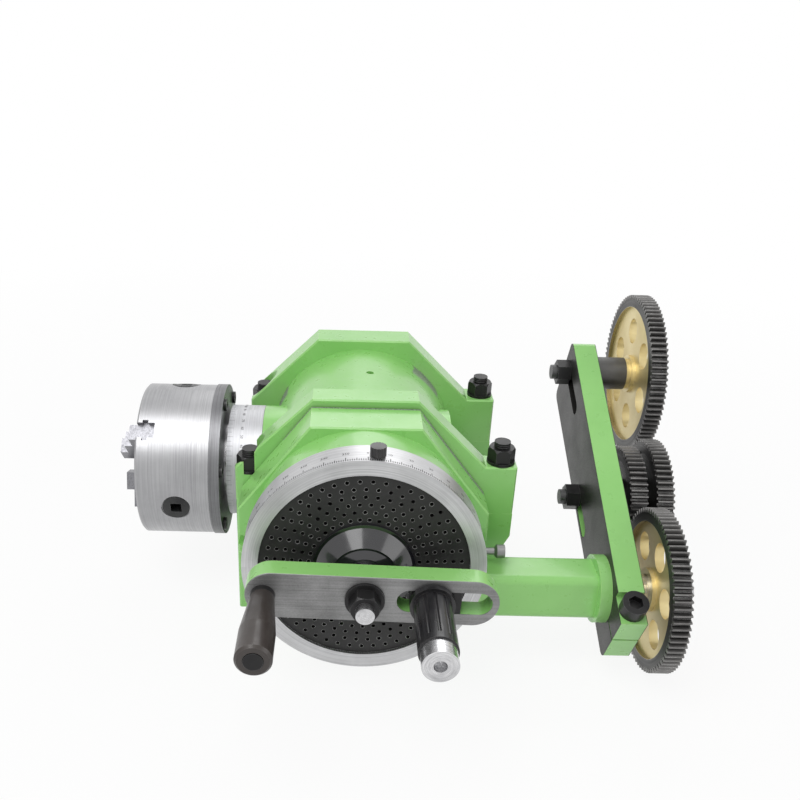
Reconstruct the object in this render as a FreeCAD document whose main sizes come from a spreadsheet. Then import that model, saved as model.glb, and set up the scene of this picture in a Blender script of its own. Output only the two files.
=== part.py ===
"""Dividing head with three-jaw chuck, index plate, crank and change gears.

All pieces are drawn about the point where the spindle axis and the crank axis
cross, and are then lifted by spindle_height, so that z = 0 is the base underside.
X runs along the spindle (chuck at -X), the crank looks towards -Y, Z is up.
"""
import FreeCAD
import Part
import math
import os
import re
import Sketcher

Vector = FreeCAD.Vector
Rotation = FreeCAD.Rotation
doc = FreeCAD.newDocument("dividing_head")

# ---------------------------------------------------------------- dimensions
SIZES = {
    # general
    "spindle_height": 132, "running_fit": 0.05, "clear_gap": 0.3,
    # cradles, caps and base
    "drum_radius": 100, "near_face": 88, "near_width": 28, "far_start": 79, "far_width": 36,
    "cap_height": 111, "cap_half_top": 51, "cap_slope": 0.985, "left_end": 127,
    "slope_end": 121, "ear_end": 152, "ear_drop": 10, "ear_step": 112, "ear_foot": 36,
    "foot_half": 132, "foot_knee": 60, "knee_half": 140, "floor_thick": 20,
    "bolt_slot": 18, "slot_reach": 24, "key_seat_length": 30, "key_seat_depth": 6,
    "key_seat_offset": 60, "right_stud": 137, "left_stud": 113, "left_seat": 28,
    # M16 clamp fasteners
    "stud_radius": 8, "stud_hole": 9, "stud_depth": 42, "stud_proud": 6,
    "washer_radius": 14, "washer_thick": 3, "nut_radius": 13.86, "nut_height": 14,
    "seat_radius": 15,
    # drum and spindle barrel
    "drum_front": 90, "barrel_radius": 59, "barrel_end": 104.5, "barrel_rear": 92, "rear_end": 98, "cavity_radius": 50,
    "front_bush_outer": 44, "front_journal": 36, "front_bush_depth": 44.5,
    "rear_bush_outer": 38, "rear_journal": 27, "rear_bush_start": 50, "rear_bush_end": 78,
    "rear_recess": 40, "oil_hole": 4, "oil_depth": 16, "oil_right": 6, "oil_back": 12,
    # front cover and its round boss
    "cover_front": 135, "cover_top": 104, "cover_half_top": 51.5, "cover_half": 120,
    "cover_shoulder": 16, "cover_knee": 31, "cover_bottom": 98, "cover_half_bottom": 72,
    "boss_radius": 102, "boss_front": 179, "hollow_radius": 88.5, "hollow_front": 172,
    "flange_opening": 70, "flange_face": 104, "corner_hole": 5.5, "corner_hole_depth": 20,
    "corner_hole_out": 117, "corner_hole_down": 18.5, "edge_round": 1.5,
    # cover screws (M8 socket head)
    "screw_radius": 4, "screw_head": 6.5, "screw_head_height": 8, "screw_length": 22,
    "cover_bolt_circle": 80, "rear_cover_thick": 8, "rear_cover_radius": 95, "rear_bolt_circle": 84,
    # worm drive, 40 : 1
    "gear_module": 2, "tooth_gap": 0.18, "wheel_teeth": 40, "wheel_width": 18, "worm_drop": 56,
    "worm_length": 44, "worm_journal": 8, "worm_bush_outer": 14, "worm_rear": 60,
    "spur_teeth": 28, "spur_back": 108, "spur_width": 16,
    # spindle
    "nose_radius": 40, "nose_end": 145, "spigot_radius": 30, "spigot_end": 160,
    "wheel_seat": 28, "mid_radius": 32, "taper_mouth": 15.63, "taper_throat": 12.9,
    "taper_length": 105, "through_bore": 11, "key_width": 8, "key_height": 7,
    "spindle_nut_radius": 36, "spindle_nut_width": 10, "rear_thread": 26,
    # graduated collar and chuck
    "collar_radius": 59, "collar_front": 140, "plate_face": 145, "backplate_radius": 81,
    "chuck_back": 156, "chuck_front": 230, "chuck_radius": 80, "chuck_bore": 20,
    "chuck_edge": 2, "scroll_face": 211, "scroll_thick": 6.5, "scroll_hole": 23,
    "scroll_radius": 66, "register_depth": 9, "pinion_line": 190, "pinion_radius": 14,
    "pinion_inner": 50, "pinion_socket": 5.5, "socket_depth": 16, "pinion_angle": -13,
    "chuck_screw_circle": 73, "chuck_screw_radius": 4, "chuck_head_radius": 6.5,
    "chuck_head_height": 8, "chuck_head_sink": 5, "chuck_screw_length": 24,
    "jaw_width": 16, "jaw_tongue": 22, "tongue_width": 5.6, "tongue_depth": 6.2,
    "jaw_inner": 16, "jaw_step": 19, "jaw_rise": 8, "jaw_height": 40, "jaw_gap": 0.15,
    "jaw_angle": 47,
    # crank shaft, index plate and hub
    "crank_journal": 10, "crank_inner_end": 60, "crank_radius": 12, "sleeve_radius": 24,
    "sleeve_bush_outer": 30, "ring_back": 179.3, "ring_front": 208.5, "ring_radius": 109,
    "plate_radius": 94.5, "plate_front": 205.5, "plate_thick": 10, "hole_radius": 1.8,
    "pin_circle": 57, "circle_pitch": 7.5, "hub_radius": 46, "hub_rim": 3, "hub_waist": 30,
    "hub_front": 224, "hub_cone": 12, "hub_nose": 21,
    "sleeve_gear_radius": 35.4, "sleeve_gear_width": 16, "shoulder_radius": 17.5,
    # crank arm and handle
    "crank_angle": 1.5, "arm_back": 234, "arm_thick": 19, "arm_left": 101.5, "arm_right": 114.5,
    "arm_half": 22.5, "arm_edge": 1, "slot_left": 27, "slot_right": 108.5, "slot_half": 11,
    "arm_bore": 9, "crank_washer_radius": 17, "crank_nut_height": 13, "crank_stud_proud": 8,
    "grip_offset": 86, "grip_pin": 5, "grip_pin_root": 6, "grip_neck": 10.5, "grip_radius": 15,
    "grip_length": 80, "grip_taper": 46, "grip_collar": 5.5, "grip_head": 8, "grip_head_height": 4,
    # index plunger
    "block_left": 18, "block_right": 25, "block_fit": 0.12, "barrel_outer": 11, "barrel_inner": 8.6,
    "barrel_length": 46, "barrel_wall": 3,
    "pin_radius": 5, "pin_tip_radius": 1.6, "pin_tip_length": 10, "pin_collar": 8.4,
    "collar_seat": 4, "spring_slack": 0.2,
    "knob_flange": 19.3, "knob_flange_thick": 6, "knob_radius": 16.5, "knob_length": 59,
    "knob_flutes": 12, "flute_radius": 1.6, "end_radius": 15, "end_length": 16, "end_bore": 5.5,
    "end_bore_depth": 9, "spring_wire": 0.8, "spring_pitch": 4,
    # ring lock screw and plate lock pin
    "lock_screw_radius": 3, "lock_knob_radius": 7, "lock_knob_height": 9, "lock_screw_back": 199,
    "lock_screw_right": 8.5, "lock_flutes": 16, "lock_pin_radius": 3.5, "lock_pin_back": 150,
    "lock_pin_down": 15, "lock_pin_inner": 92, "lock_pin_length": 33, "lock_head_radius": 6.5,
    "lock_head_length": 10,
    # side shaft and its arm
    "side_back": 156.2, "side_drop": 50.7, "side_radius": 10, "side_gear_radius": 15,
    "side_gear_width": 16, "arm_pad_end": 112, "arm_tall": 46, "arm_deep": 42, "arm_round": 7,
    "tube_end": 222, "flange_radius": 32.7, "banjo_face": 233, "banjo_thick": 25,
    "spigot_fit": 24, "spigot_radius_arm": 19, "spigot_start": 70, "side_bush_outer": 15, "side_bush_length": 22,
    # banjo plate and change gears
    "banjo_angle": 26, "banjo_low": 54, "banjo_high": 287, "banjo_half_low": 40,
    "banjo_half_high": 46, "banjo_round": 8, "slit_half": 1, "clamp_screw_offset": 40,
    "clamp_screw_radius": 7, "clamp_head_radius": 12, "clamp_head_height": 15,
    "clamp_seat": 32, "clamp_screw_length": 64, "clamp_socket": 7, "slot_width": 16.4,
    "gear_gap": 16, "gear_width": 17, "gear_step": 24.4, "side_teeth": 77,
    "mid_small_teeth": 54, "mid_large_teeth": 62, "top_teeth": 86, "top_along": 269,
    "top_across": 13.6, "rim_depth": 13, "web_recess": 4, "gear_hub": 21, "web_hole": 14,
    "web_holes": 6, "end_washer_radius": 23, "end_washer_thick": 4, "end_nut_radius": 17.3,
    "end_nut_height": 17, "shaft_proud": 6, "gear_stud_radius": 12, "stud_flange": 22,
    "stud_flange_thick": 4, "stud_collar": 18,
}
CIRCLE_HOLES = (37, 39, 41, 43, 47, 49)

sheet = doc.addObject("Spreadsheet::Sheet", "dims")
for row, (alias, number) in enumerate(SIZES.items(), start=1):
    sheet.set(f"A{row}", alias)
    sheet.set(f"B{row}", str(number))
    sheet.setAlias(f"B{row}", alias)
doc.recompute()


def value(text):
    """Number that an expression of sheet names works out to."""
    return float(sheet.evalExpression(bind(text)))


def bind(text):
    """Turn plain names such as drum_radius into references to the sheet."""
    return re.sub(r"[a-z][a-z_]+", lambda m: "dims." + m.group(0) if m.group(0) in SIZES else m.group(0), text)


# ------------------------------------------------------------ drawing helpers
ALONG = {"X": Rotation(Vector(0, 1, 0), 90), "Y": Rotation(Vector(1, 0, 0), -90), "Z": Rotation()}
PARTS = []


def locate(item, at):
    for axis, text in zip("xyz", at):
        item.setExpression(f"Placement.Base.{axis}", bind(text))


def point(axis, start, centre):
    """Three expressions for a place on an axis: start along it, centre across it."""
    a, b = centre
    return {"X": (start, a, b), "Y": (a, start, b), "Z": (a, b, start)}[axis]


def cylinder(name, axis, radius, start, length, centre=("0", "0")):
    item = doc.addObject("Part::Cylinder", name)
    item.setExpression("Radius", bind(radius))
    item.setExpression("Height", bind(length))
    item.Placement = FreeCAD.Placement(Vector(), ALONG[axis])
    locate(item, point(axis, start, centre))
    return item


def cone(name, axis, radius, far_radius, start, length, centre=("0", "0")):
    item = doc.addObject("Part::Cone", name)
    item.setExpression("Radius1", bind(radius))
    item.setExpression("Radius2", bind(far_radius))
    item.setExpression("Height", bind(length))
    item.Placement = FreeCAD.Placement(Vector(), ALONG[axis])
    locate(item, point(axis, start, centre))
    return item


def hexagon(name, axis, radius, start, length, centre=("0", "0")):
    item = doc.addObject("Part::Prism", name)
    item.Polygon = 6
    item.setExpression("Circumradius", bind(radius))
    item.setExpression("Height", bind(length))
    item.Placement = FreeCAD.Placement(Vector(), ALONG[axis])
    locate(item, point(axis, start, centre))
    return item


def block(name, low, size):
    item = doc.addObject("Part::Box", name)
    for side, text in zip(("Length", "Width", "Height"), size):
        item.setExpression(side, bind(text))
    locate(item, low)
    return item


def fuse(name, items):
    if len(items) == 1:
        return items[0]
    item = doc.addObject("Part::MultiFuse", name)
    item.Shapes = items
    item.Refine = True
    return item


def cut(name, base, tools):
    item = doc.addObject("Part::Cut", name)
    item.Base = base
    item.Tool = fuse(name + "_tools", tools)
    item.Refine = True
    return item


def group(name, items):
    item = doc.addObject("Part::Compound", name)
    item.Links = items
    return item


def turned(name, axis, steps, bores=(), centre=("0", "0")):
    """Stack of discs on one axis; each step is (radius, start, length)."""
    solids = [cylinder(f"{name}_step{i}", axis, *step, centre) for i, step in enumerate(steps, 1)]
    body = fuse(f"{name}_blank" if bores else name, solids)
    if not bores:
        return body
    holes = [cylinder(f"{name}_bore{i}", axis, *bore, centre) for i, bore in enumerate(bores, 1)]
    return cut(name, body, holes)


def finish(item, label, angle=None, axis=Vector(0, 1, 0)):
    """Lift a finished piece to its height and keep it as a named sub-part."""
    if angle is not None:
        item.Placement = FreeCAD.Placement(Vector(), Rotation(axis, 1))
        item.setExpression("Placement.Rotation.Angle", bind(angle))
    item.setExpression("Placement.Base.z", bind("spindle_height"))
    item.Label = label
    PARTS.append(item)
    return item


def lifted(shape, label, angle=0.0, axis=Vector(0, 1, 0)):
    """Keep a shape made with Part's own functions as a named sub-part."""
    item = doc.addObject("Part::Feature", label)
    item.Shape = shape
    lift = FreeCAD.Placement(Vector(0, 0, value("spindle_height")), Rotation(axis, angle))
    item.Placement = lift.multiply(shape.Placement)
    item.Label = label
    PARTS.append(item)
    return item


# ------------------------------------------------- PartDesign drawing helpers
def new_body(name):
    return doc.addObject("PartDesign::Body", name)


def sketch_on(body, name, role, offset):
    sketch = body.newObject("Sketcher::SketchObject", name)
    plane = [item for item in body.Origin.OriginFeatures if item.Role == role][0]
    sketch.AttachmentSupport = [(plane, "")]
    sketch.MapMode = "FlatFace"
    sketch.setExpression("AttachmentOffset.Base.z", bind(offset))
    return sketch


def bound(sketch, kind, vertex, end, text):
    index = sketch.addConstraint(Sketcher.Constraint(kind, -1, 1, vertex, end, value(text)))
    sketch.setExpression(f"Constraints[{index}]", bind(text))


def add_outline(sketch, corners):
    """Closed outline through corners, each bound to two expressions."""
    first = sketch.GeometryCount
    places = [Vector(value(x), value(y), 0) for x, y in corners]
    count = len(places)
    for i in range(count):
        sketch.addGeometry(Part.LineSegment(places[i], places[(i + 1) % count]))
    for i in range(count):
        sketch.addConstraint(Sketcher.Constraint("Coincident", first + i, 2, first + (i + 1) % count, 1))
    for i, (x, y) in enumerate(corners):
        bound(sketch, "DistanceX", first + i, 1, x)
        bound(sketch, "DistanceY", first + i, 1, y)


def add_circle(sketch, centre, radius):
    index = sketch.addGeometry(Part.Circle(Vector(value(centre[0]), value(centre[1]), 0), Vector(0, 0, 1),
                                           value(radius)))
    bound(sketch, "DistanceX", index, 3, centre[0])
    bound(sketch, "DistanceY", index, 3, centre[1])
    limit = sketch.addConstraint(Sketcher.Constraint("Radius", index, value(radius)))
    sketch.setExpression(f"Constraints[{limit}]", bind(radius))


def pad(body, sketch, length):
    item = body.newObject("PartDesign::Pad", sketch.Name + "_pad")
    item.Profile = sketch
    item.setExpression("Length", bind(length))
    sketch.Visibility = False
    return item


def pocket(body, sketch, length, away=False):
    """Cut along the sketch normal when away is true, against it otherwise."""
    before = body.Shape.Volume
    item = body.newObject("PartDesign::Pocket", sketch.Name + "_pocket")
    item.Profile = sketch
    item.setExpression("Length", bind(length))
    item.Reversed = away
    doc.recompute()
    if body.Shape.Volume > before - 0.01:
        raise RuntimeError(f"{item.Name} cuts nothing")
    return item


def outline_pad(body, name, role, offset, corners, length):
    sketch = sketch_on(body, name, role, offset)
    add_outline(sketch, corners)
    result = pad(body, sketch, length)
    doc.recompute()
    return result


def disc_pad(body, name, role, offset, centre, radius, length):
    sketch = sketch_on(body, name, role, offset)
    add_circle(sketch, centre, radius)
    result = pad(body, sketch, length)
    doc.recompute()
    return result


def outline_pocket(body, name, role, offset, corners, length, away=False):
    sketch = sketch_on(body, name, role, offset)
    add_outline(sketch, corners)
    return pocket(body, sketch, length, away)


def disc_pocket(body, name, role, offset, centres, radius, length, away=False):
    sketch = sketch_on(body, name, role, offset)
    for centre in centres:
        add_circle(sketch, centre, radius)
    return pocket(body, sketch, length, away)


def round_edges(body, name, kind, size, wanted):
    """Fillet or chamfer the edges of the last feature that wanted() picks."""
    base = body.Tip
    picked = [f"Edge{i}" for i, edge in enumerate(base.Shape.Edges, 1) if wanted(edge)]
    item = body.newObject("PartDesign::" + kind, name)
    item.Base = (base, picked)
    if kind == "Fillet":
        item.setExpression("Radius", bind(size))
    else:
        item.setExpression("Size", bind(size))
    doc.recompute()
    return item


def straight(edge):
    return isinstance(edge.Curve, (Part.Line, Part.LineSegment))


def level_with(edge, axis, number):
    box = edge.BoundBox
    low, high = {"x": (box.XMin, box.XMax), "y": (box.YMin, box.YMax), "z": (box.ZMin, box.ZMax)}[axis]
    return abs(low - number) < 0.01 and abs(high - number) < 0.01


# ---------------------------------------------------------------- gear shapes
def gear_face(teeth, bore, phase):
    """Spur gear outline in its own XY plane, a tooth pointing at phase degrees."""
    module = value("gear_module")
    gap = value("tooth_gap")
    pitch = module * teeth / 2
    tip = pitch + module
    root = pitch - 1.25 * module
    base = pitch * math.cos(math.radians(20))
    flank_pitch = math.tan(math.radians(20)) - math.radians(20)
    half_pitch = math.pi / (2 * teeth) - gap / (2 * pitch)

    def half_angle(radius):
        if radius <= base:
            return half_pitch + flank_pitch
        bend = math.acos(base / radius)
        return half_pitch + flank_pitch - (math.tan(bend) - bend)

    radii = [root, max(base, root + 0.3 * module), pitch - 0.4 * module, pitch, pitch + 0.5 * module, tip]
    corners = []
    for tooth in range(teeth):
        middle = math.radians(phase) + 2 * math.pi * tooth / teeth
        flank = [(radius, half_angle(radius)) for radius in radii]
        for radius, half in flank:
            corners.append((radius, middle - half))
        for radius, half in reversed(flank):
            corners.append((radius, middle + half))
    places = [Vector(r * math.cos(a), r * math.sin(a), 0) for r, a in corners]
    outer = Part.Face(Part.makePolygon(places + [places[0]]))
    if bore <= 0:
        return outer
    return outer.cut(Part.Face(Part.Wire(Part.makeCircle(bore))))


def gear_on(axis, teeth, start, width, centre, bore, phase):
    """Gear solid on an axis along X or Y; phase is measured from the first cross axis."""
    solid = gear_face(teeth, bore, phase).extrude(Vector(0, 0, width))
    if axis == "X":
        # local x -> Y, local y -> Z, local z -> X
        turn = Rotation(Vector(0, 1, 0), Vector(0, 0, 1), Vector(1, 0, 0), "ZXY")
        solid.Placement = FreeCAD.Placement(Vector(start, centre[0], centre[1]), turn)
    else:
        # local x -> X, local y -> -Z, local z -> Y
        turn = Rotation(Vector(1, 0, 0), Vector(0, 0, -1), Vector(0, 1, 0), "ZXY")
        solid.Placement = FreeCAD.Placement(Vector(centre[0], start, centre[1]), turn)
    return solid


def disc_at(axis, radius, start, length, centre=(0, 0)):
    places = {"X": (Vector(start, *centre), Vector(1, 0, 0)),
              "Y": (Vector(centre[0], start, centre[1]), Vector(0, 1, 0))}
    place, direction = places[axis]
    return Part.makeCylinder(radius, length, place, direction)


# -------------------------------------------------------------- base and caps
def cap_outline():
    """Octagonal cap above the split, with a bolt ear on the right."""
    slope_left = "cap_height - (left_end - cap_half_top) * cap_slope"
    ear_top = "cap_height - (slope_end - cap_half_top) * cap_slope"
    return [("-left_end", "0"), ("ear_step", "0"), ("ear_step", "-ear_drop"), ("ear_end", "-ear_drop"),
            ("ear_end", ear_top), ("slope_end", ear_top), ("cap_half_top", "cap_height"),
            ("-cap_half_top", "cap_height"), ("-left_end", slope_left)]


def cradle_outline():
    """Half of the casting below the split, down to the floor."""
    return [("-left_end", "0"), ("-left_end", "-spindle_height"), ("foot_half", "-spindle_height"),
            ("knee_half", "-foot_knee"), ("ear_end", "-ear_foot"), ("ear_end", "-ear_drop"),
            ("ear_step", "-ear_drop"), ("ear_step", "0")]


def base_casting():
    body = new_body("base_body")
    outline_pad(body, "floor_sketch", "XY_Plane", "-spindle_height",
                [("-left_end", "-near_face"), ("foot_half", "-near_face"),
                 ("foot_half", "far_start + far_width"), ("-left_end", "far_start + far_width")], "floor_thick")
    outline_pad(body, "near_cradle", "XZ_Plane", "near_face - near_width", cradle_outline(), "near_width")
    outline_pad(body, "far_cradle", "XZ_Plane", "-far_start - far_width", cradle_outline(), "far_width")
    disc_pocket(body, "cradle_bore", "XZ_Plane", "-far_start - far_width", [("0", "0")],
                "drum_radius + running_fit", "near_face + far_start + far_width", away=True)
    for side, end in (("-1", "left_end"), ("1", "foot_half")):
        slot = sketch_on(body, "bolt_slot" + ("_left" if side == "-1" else "_right"), "XY_Plane", "-spindle_height")
        edge = f"{side} * {end} "
        inner = f"{side} * ({end} - slot_reach)"
        add_outline(slot, [(edge, "-bolt_slot / 2"), (inner, "-bolt_slot / 2"),
                           (inner, "bolt_slot / 2"), (edge, "bolt_slot / 2")])
        pocket(body, slot, "floor_thick", away=True)
        disc_pocket(body, slot.Name + "_end", "XY_Plane", "-spindle_height", [(inner, "0")], "bolt_slot / 2",
                    "floor_thick", away=True)
        seat_in = f"{side} * key_seat_offset"
        seat_out = f"{side} * (key_seat_offset + key_seat_length)"
        outline_pocket(body, slot.Name + "_key_seat", "XY_Plane", "-spindle_height",
                       [(seat_in, "-bolt_slot / 2"), (seat_out, "-bolt_slot / 2"),
                        (seat_out, "bolt_slot / 2"), (seat_in, "bolt_slot / 2")], "key_seat_depth", away=True)
    for name, x, top in (("right", "right_stud", "-ear_drop"), ("left", "-left_stud", "0")):
        centres = [(x, "near_width / 2 - near_face"), (x, "far_start + far_width / 2")]
        disc_pocket(body, f"thread_{name}", "XY_Plane", top, centres, "stud_radius", "stud_depth")
    corner = value("left_end")
    round_edges(body, "base_rounds", "Fillet", "edge_round * 2",
                lambda e: straight(e) and e.Length > value("floor_thick") - 1 and level_with(e, "x", -corner)
                and abs(e.tangentAt(e.FirstParameter).z) > 0.99)
    return finish(body, "base_casting")


def clamp_cap(label, offset, width, middle):
    body = new_body(label + "_body")
    outline_pad(body, label + "_outline", "XZ_Plane", offset, cap_outline(), width)
    faces = [value(f"-({offset})"), value(f"-({offset}) - {width}")]
    round_edges(body, label + "_bevel", "Chamfer", "edge_round",
                lambda e: straight(e) and e.BoundBox.ZMax > 1 and any(level_with(e, "y", y) for y in faces))
    disc_pocket(body, label + "_bore", "XZ_Plane", offset, [("0", "0")], "drum_radius + running_fit", width,
                away=True)
    disc_pocket(body, label + "_right_hole", "XY_Plane", "-ear_drop", [("right_stud", middle)], "stud_hole",
                "cap_height", away=True)
    disc_pocket(body, label + "_left_hole", "XY_Plane", "0", [("-left_stud", middle)], "stud_hole",
                "cap_height", away=True)
    disc_pocket(body, label + "_left_seat", "XY_Plane", "left_seat", [("-left_stud", middle)], "seat_radius",
                "cap_height", away=True)
    return finish(body, label)


def clamp_fasteners():
    """Four studs with washers and nuts, on the ears and in the left-hand pockets."""
    ear_top = "cap_height - (slope_end - cap_half_top) * cap_slope"
    studs, washers, nuts = [], [], []
    for across, top, low in (("right_stud", ear_top, "-ear_drop"), ("-left_stud", "left_seat", "0")):
        for y in ("near_width / 2 - near_face", "far_start + far_width / 2"):
            tag = str(len(studs) + 1)
            spot = (across, y)
            stack = "washer_thick + nut_height + stud_proud"
            studs.append(cylinder("clamp_stud_" + tag, "Z", "stud_radius", f"{low} - stud_depth",
                                  f"{top} + {stack} + stud_depth - ({low})", spot))
            ring = cylinder("washer_disc_" + tag, "Z", "washer_radius", top, "washer_thick", spot)
            hole = cylinder("washer_hole_" + tag, "Z", "stud_radius", top, "washer_thick", spot)
            washers.append(cut("washer_" + tag, ring, [hole]))
            head = hexagon("nut_hexagon_" + tag, "Z", "nut_radius", f"{top} + washer_thick", "nut_height", spot)
            crown = cone("nut_crown_" + tag, "Z", "nut_radius * 1.5", "nut_radius * 0.88",
                         f"{top} + washer_thick", "nut_height", spot)
            turned_nut = doc.addObject("Part::Common", "nut_blank_" + tag)
            turned_nut.Base, turned_nut.Tool = head, crown
            hole = cylinder("nut_hole_" + tag, "Z", "stud_radius", f"{top} + washer_thick", "nut_height", spot)
            nuts.append(cut("nut_" + tag, turned_nut, [hole]))
    finish(group("studs", studs), "clamp_studs")
    finish(group("washers", washers), "clamp_washers")
    finish(group("nuts", nuts), "clamp_nuts")


# ------------------------------------------------------------- swivel housing
def screw_spots(circle):
    return [(f"{circle} * cos({angle})", f"{circle} * sin({angle})") for angle in (45, 135, 225, 315)]


def rear_spots():
    return [(f"rear_bolt_circle * cos({angle})", f"rear_bolt_circle * sin({angle})")
            for angle in range(0, 360, 60)]


def swivel_housing():
    length = "drum_front + far_start + far_width"
    drum = cylinder("drum", "Y", "drum_radius", "-drum_front", length)
    barrel = cylinder("barrel", "X", "barrel_radius", "-barrel_end", "barrel_end + barrel_rear")
    bores = [
        cylinder("front_bush_seat", "X", "front_bush_outer", "-barrel_end", "front_bush_depth"),
        cylinder("wheel_cavity", "X", "cavity_radius", "front_bush_depth - barrel_end",
                 "barrel_end - front_bush_depth + rear_bush_start"),
        cylinder("rear_bush_seat", "X", "rear_bush_outer", "rear_bush_start", "rear_bush_end - rear_bush_start"),
        cylinder("rear_recess_bore", "X", "rear_recess", "rear_bush_end", "drum_radius - rear_bush_end"),
        cylinder("worm_tunnel", "Y", "worm_bush_outer", "-drum_front", "drum_front + worm_rear",
                 ("0", "-worm_drop")),
        cylinder("crank_tunnel", "Y", "crank_journal + 6", "-drum_front", "drum_front - cavity_radius * 0.9"),
        cylinder("oil_hole_bore", "Z", "oil_hole", "drum_radius - oil_depth", "oil_depth + 1",
                 ("oil_right", "oil_back")),
    ]
    for i, spot in enumerate(screw_spots("cover_bolt_circle")):
        bores.append(cylinder(f"cover_thread_{i}", "Y", "screw_radius", "-drum_front", "screw_length", spot))
    for i, spot in enumerate(rear_spots()):
        bores.append(cylinder(f"rear_thread_{i}", "Y", "screw_radius",
                              "far_start + far_width - screw_length", "screw_length", spot))
    return finish(cut("housing", fuse("housing_blank", [drum, barrel]), bores), "swivel_housing")


def front_cover():
    body = new_body("cover_body")
    half = [("cover_half_top", "cover_top"), ("cover_half", "cover_shoulder"), ("cover_half", "-cover_knee"),
            ("cover_half_bottom", "-cover_bottom")]
    outline = half + [("-" + x, y) for x, y in reversed(half)]
    outline_pad(body, "cover_plate", "XZ_Plane", "drum_front", outline, "cover_front - drum_front")
    front = -value("cover_front")
    round_edges(body, "cover_bevel", "Chamfer", "edge_round",
                lambda e: straight(e) and level_with(e, "y", front))
    disc_pad(body, "cover_boss", "XZ_Plane", "cover_front", ("0", "0"), "boss_radius", "boss_front - cover_front")
    low, high = "-side_drop - arm_tall / 2", "arm_tall / 2 - side_drop"
    near, far = "-side_back - arm_deep / 2", "arm_deep / 2 - side_back"
    outline_pad(body, "arm_pad", "YZ_Plane", "hollow_radius * 0.5",
                [(near, low), (far, low), (far, high), (near, high)], "arm_pad_end - hollow_radius * 0.5")
    disc_pocket(body, "cover_hollow", "XZ_Plane", "flange_face", [("0", "0")], "hollow_radius",
                "hollow_front - flange_face", away=True)
    disc_pocket(body, "flange_mouth", "XZ_Plane", "drum_front", [("0", "0")], "flange_opening",
                "flange_face - drum_front", away=True)
    disc_pocket(body, "sleeve_hole", "XZ_Plane", "hollow_front", [("0", "0")], "sleeve_bush_outer",
                "boss_front - hollow_front", away=True)
    disc_pocket(body, "spigot_hole", "YZ_Plane", "hollow_radius * 0.5", [("-side_back", "-side_drop")],
                "spigot_radius_arm", "arm_pad_end", away=True)
    disc_pocket(body, "corner_holes", "XZ_Plane", "cover_front",
                [("corner_hole_out", "-corner_hole_down"), ("-corner_hole_out", "-corner_hole_down")],
                "corner_hole", "corner_hole_depth")
    disc_pocket(body, "flange_holes", "XZ_Plane", "drum_front", screw_spots("cover_bolt_circle"),
                "screw_radius", "flange_face - drum_front", away=True)
    disc_pocket(body, "lock_pin_hole", "YZ_Plane", "hollow_radius * 0.5", [("-lock_pin_back", "-lock_pin_down")],
                "lock_pin_radius + running_fit", "arm_pad_end", away=True)
    return finish(body, "front_cover")


def rear_cover():
    start = "far_start + far_width"
    disc = cylinder("rear_disc", "Y", "rear_cover_radius", start, "rear_cover_thick")
    holes = [cylinder(f"rear_hole_{i}", "Y", "screw_radius", start, "rear_cover_thick", spot)
             for i, spot in enumerate(rear_spots())]
    return finish(cut("rear_lid", disc, holes), "rear_cover")


def socket_screw(name, head_start, head_length, shank_start, shank_length, spot, socket_start):
    head = cylinder(name + "_head", "Y", "screw_head", head_start, head_length, spot)
    shank = cylinder(name + "_shank", "Y", "screw_radius", shank_start, shank_length, spot)
    socket = hexagon(name + "_socket", "Y", "screw_radius * 0.9", socket_start, "screw_radius", spot)
    return cut(name, fuse(name + "_blank", [head, shank]), [socket])


def cover_screws():
    screws = []
    for i, spot in enumerate(screw_spots("cover_bolt_circle")):
        screws.append(socket_screw(f"front_screw_{i}", "-flange_face - screw_head_height", "screw_head_height",
                                   "-flange_face", "screw_length + flange_face - drum_front", spot,
                                   "-flange_face - screw_head_height"))
    rear = "far_start + far_width"
    for i, spot in enumerate(rear_spots()):
        screws.append(socket_screw(f"rear_screw_{i}", f"{rear} + rear_cover_thick", "screw_head_height",
                                   f"{rear} - screw_length", "screw_length + rear_cover_thick", spot,
                                   f"{rear} + rear_cover_thick + screw_head_height - screw_radius"))
    return finish(group("all_cover_screws", screws), "cover_screws")


def housing_bushes():
    front = turned("front_bush", "X", [("front_bush_outer", "-barrel_end", "front_bush_depth")],
                   [("front_journal + running_fit", "-barrel_end", "front_bush_depth")])
    rear = turned("rear_bush", "X", [("rear_bush_outer", "rear_bush_start", "rear_bush_end - rear_bush_start")],
                  [("rear_journal + running_fit", "rear_bush_start", "rear_bush_end - rear_bush_start")])
    finish(group("bushes_of_spindle", [front, rear]), "spindle_bushes")
    drop = ("0", "-worm_drop")
    long = "drum_front - flange_opening + 8"
    near = turned("worm_near_bush", "Y", [("worm_bush_outer", "-drum_front", long)],
                  [("worm_journal + running_fit", "-drum_front", long)], drop)
    far = turned("worm_far_bush", "Y", [("worm_bush_outer", f"worm_rear - ({long})", long)],
                 [("worm_journal + running_fit", f"worm_rear - ({long})", long)], drop)
    inner = turned("crank_near_bush", "Y", [("crank_journal + 6", "-drum_front", long)],
                   [("crank_journal + running_fit", "-drum_front", long)])
    sleeve = turned("sleeve_bush", "Y", [("sleeve_bush_outer", "-boss_front", "boss_front - hollow_front")],
                    [("sleeve_radius + running_fit", "-boss_front", "boss_front - hollow_front")])
    finish(group("bushes_of_drive", [near, far, inner, sleeve]), "drive_bushes")
    axis = ("-side_back", "-side_drop")
    starts = ("spigot_start", "banjo_face + banjo_thick - side_bush_length")
    rings = [turned(f"side_bush_{i}", "X", [("side_bush_outer", start, "side_bush_length")],
                    [("side_radius + running_fit", start, "side_bush_length")], axis)
             for i, start in enumerate(starts)]
    finish(group("bushes_of_side_shaft", rings), "side_shaft_bushes")


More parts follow.
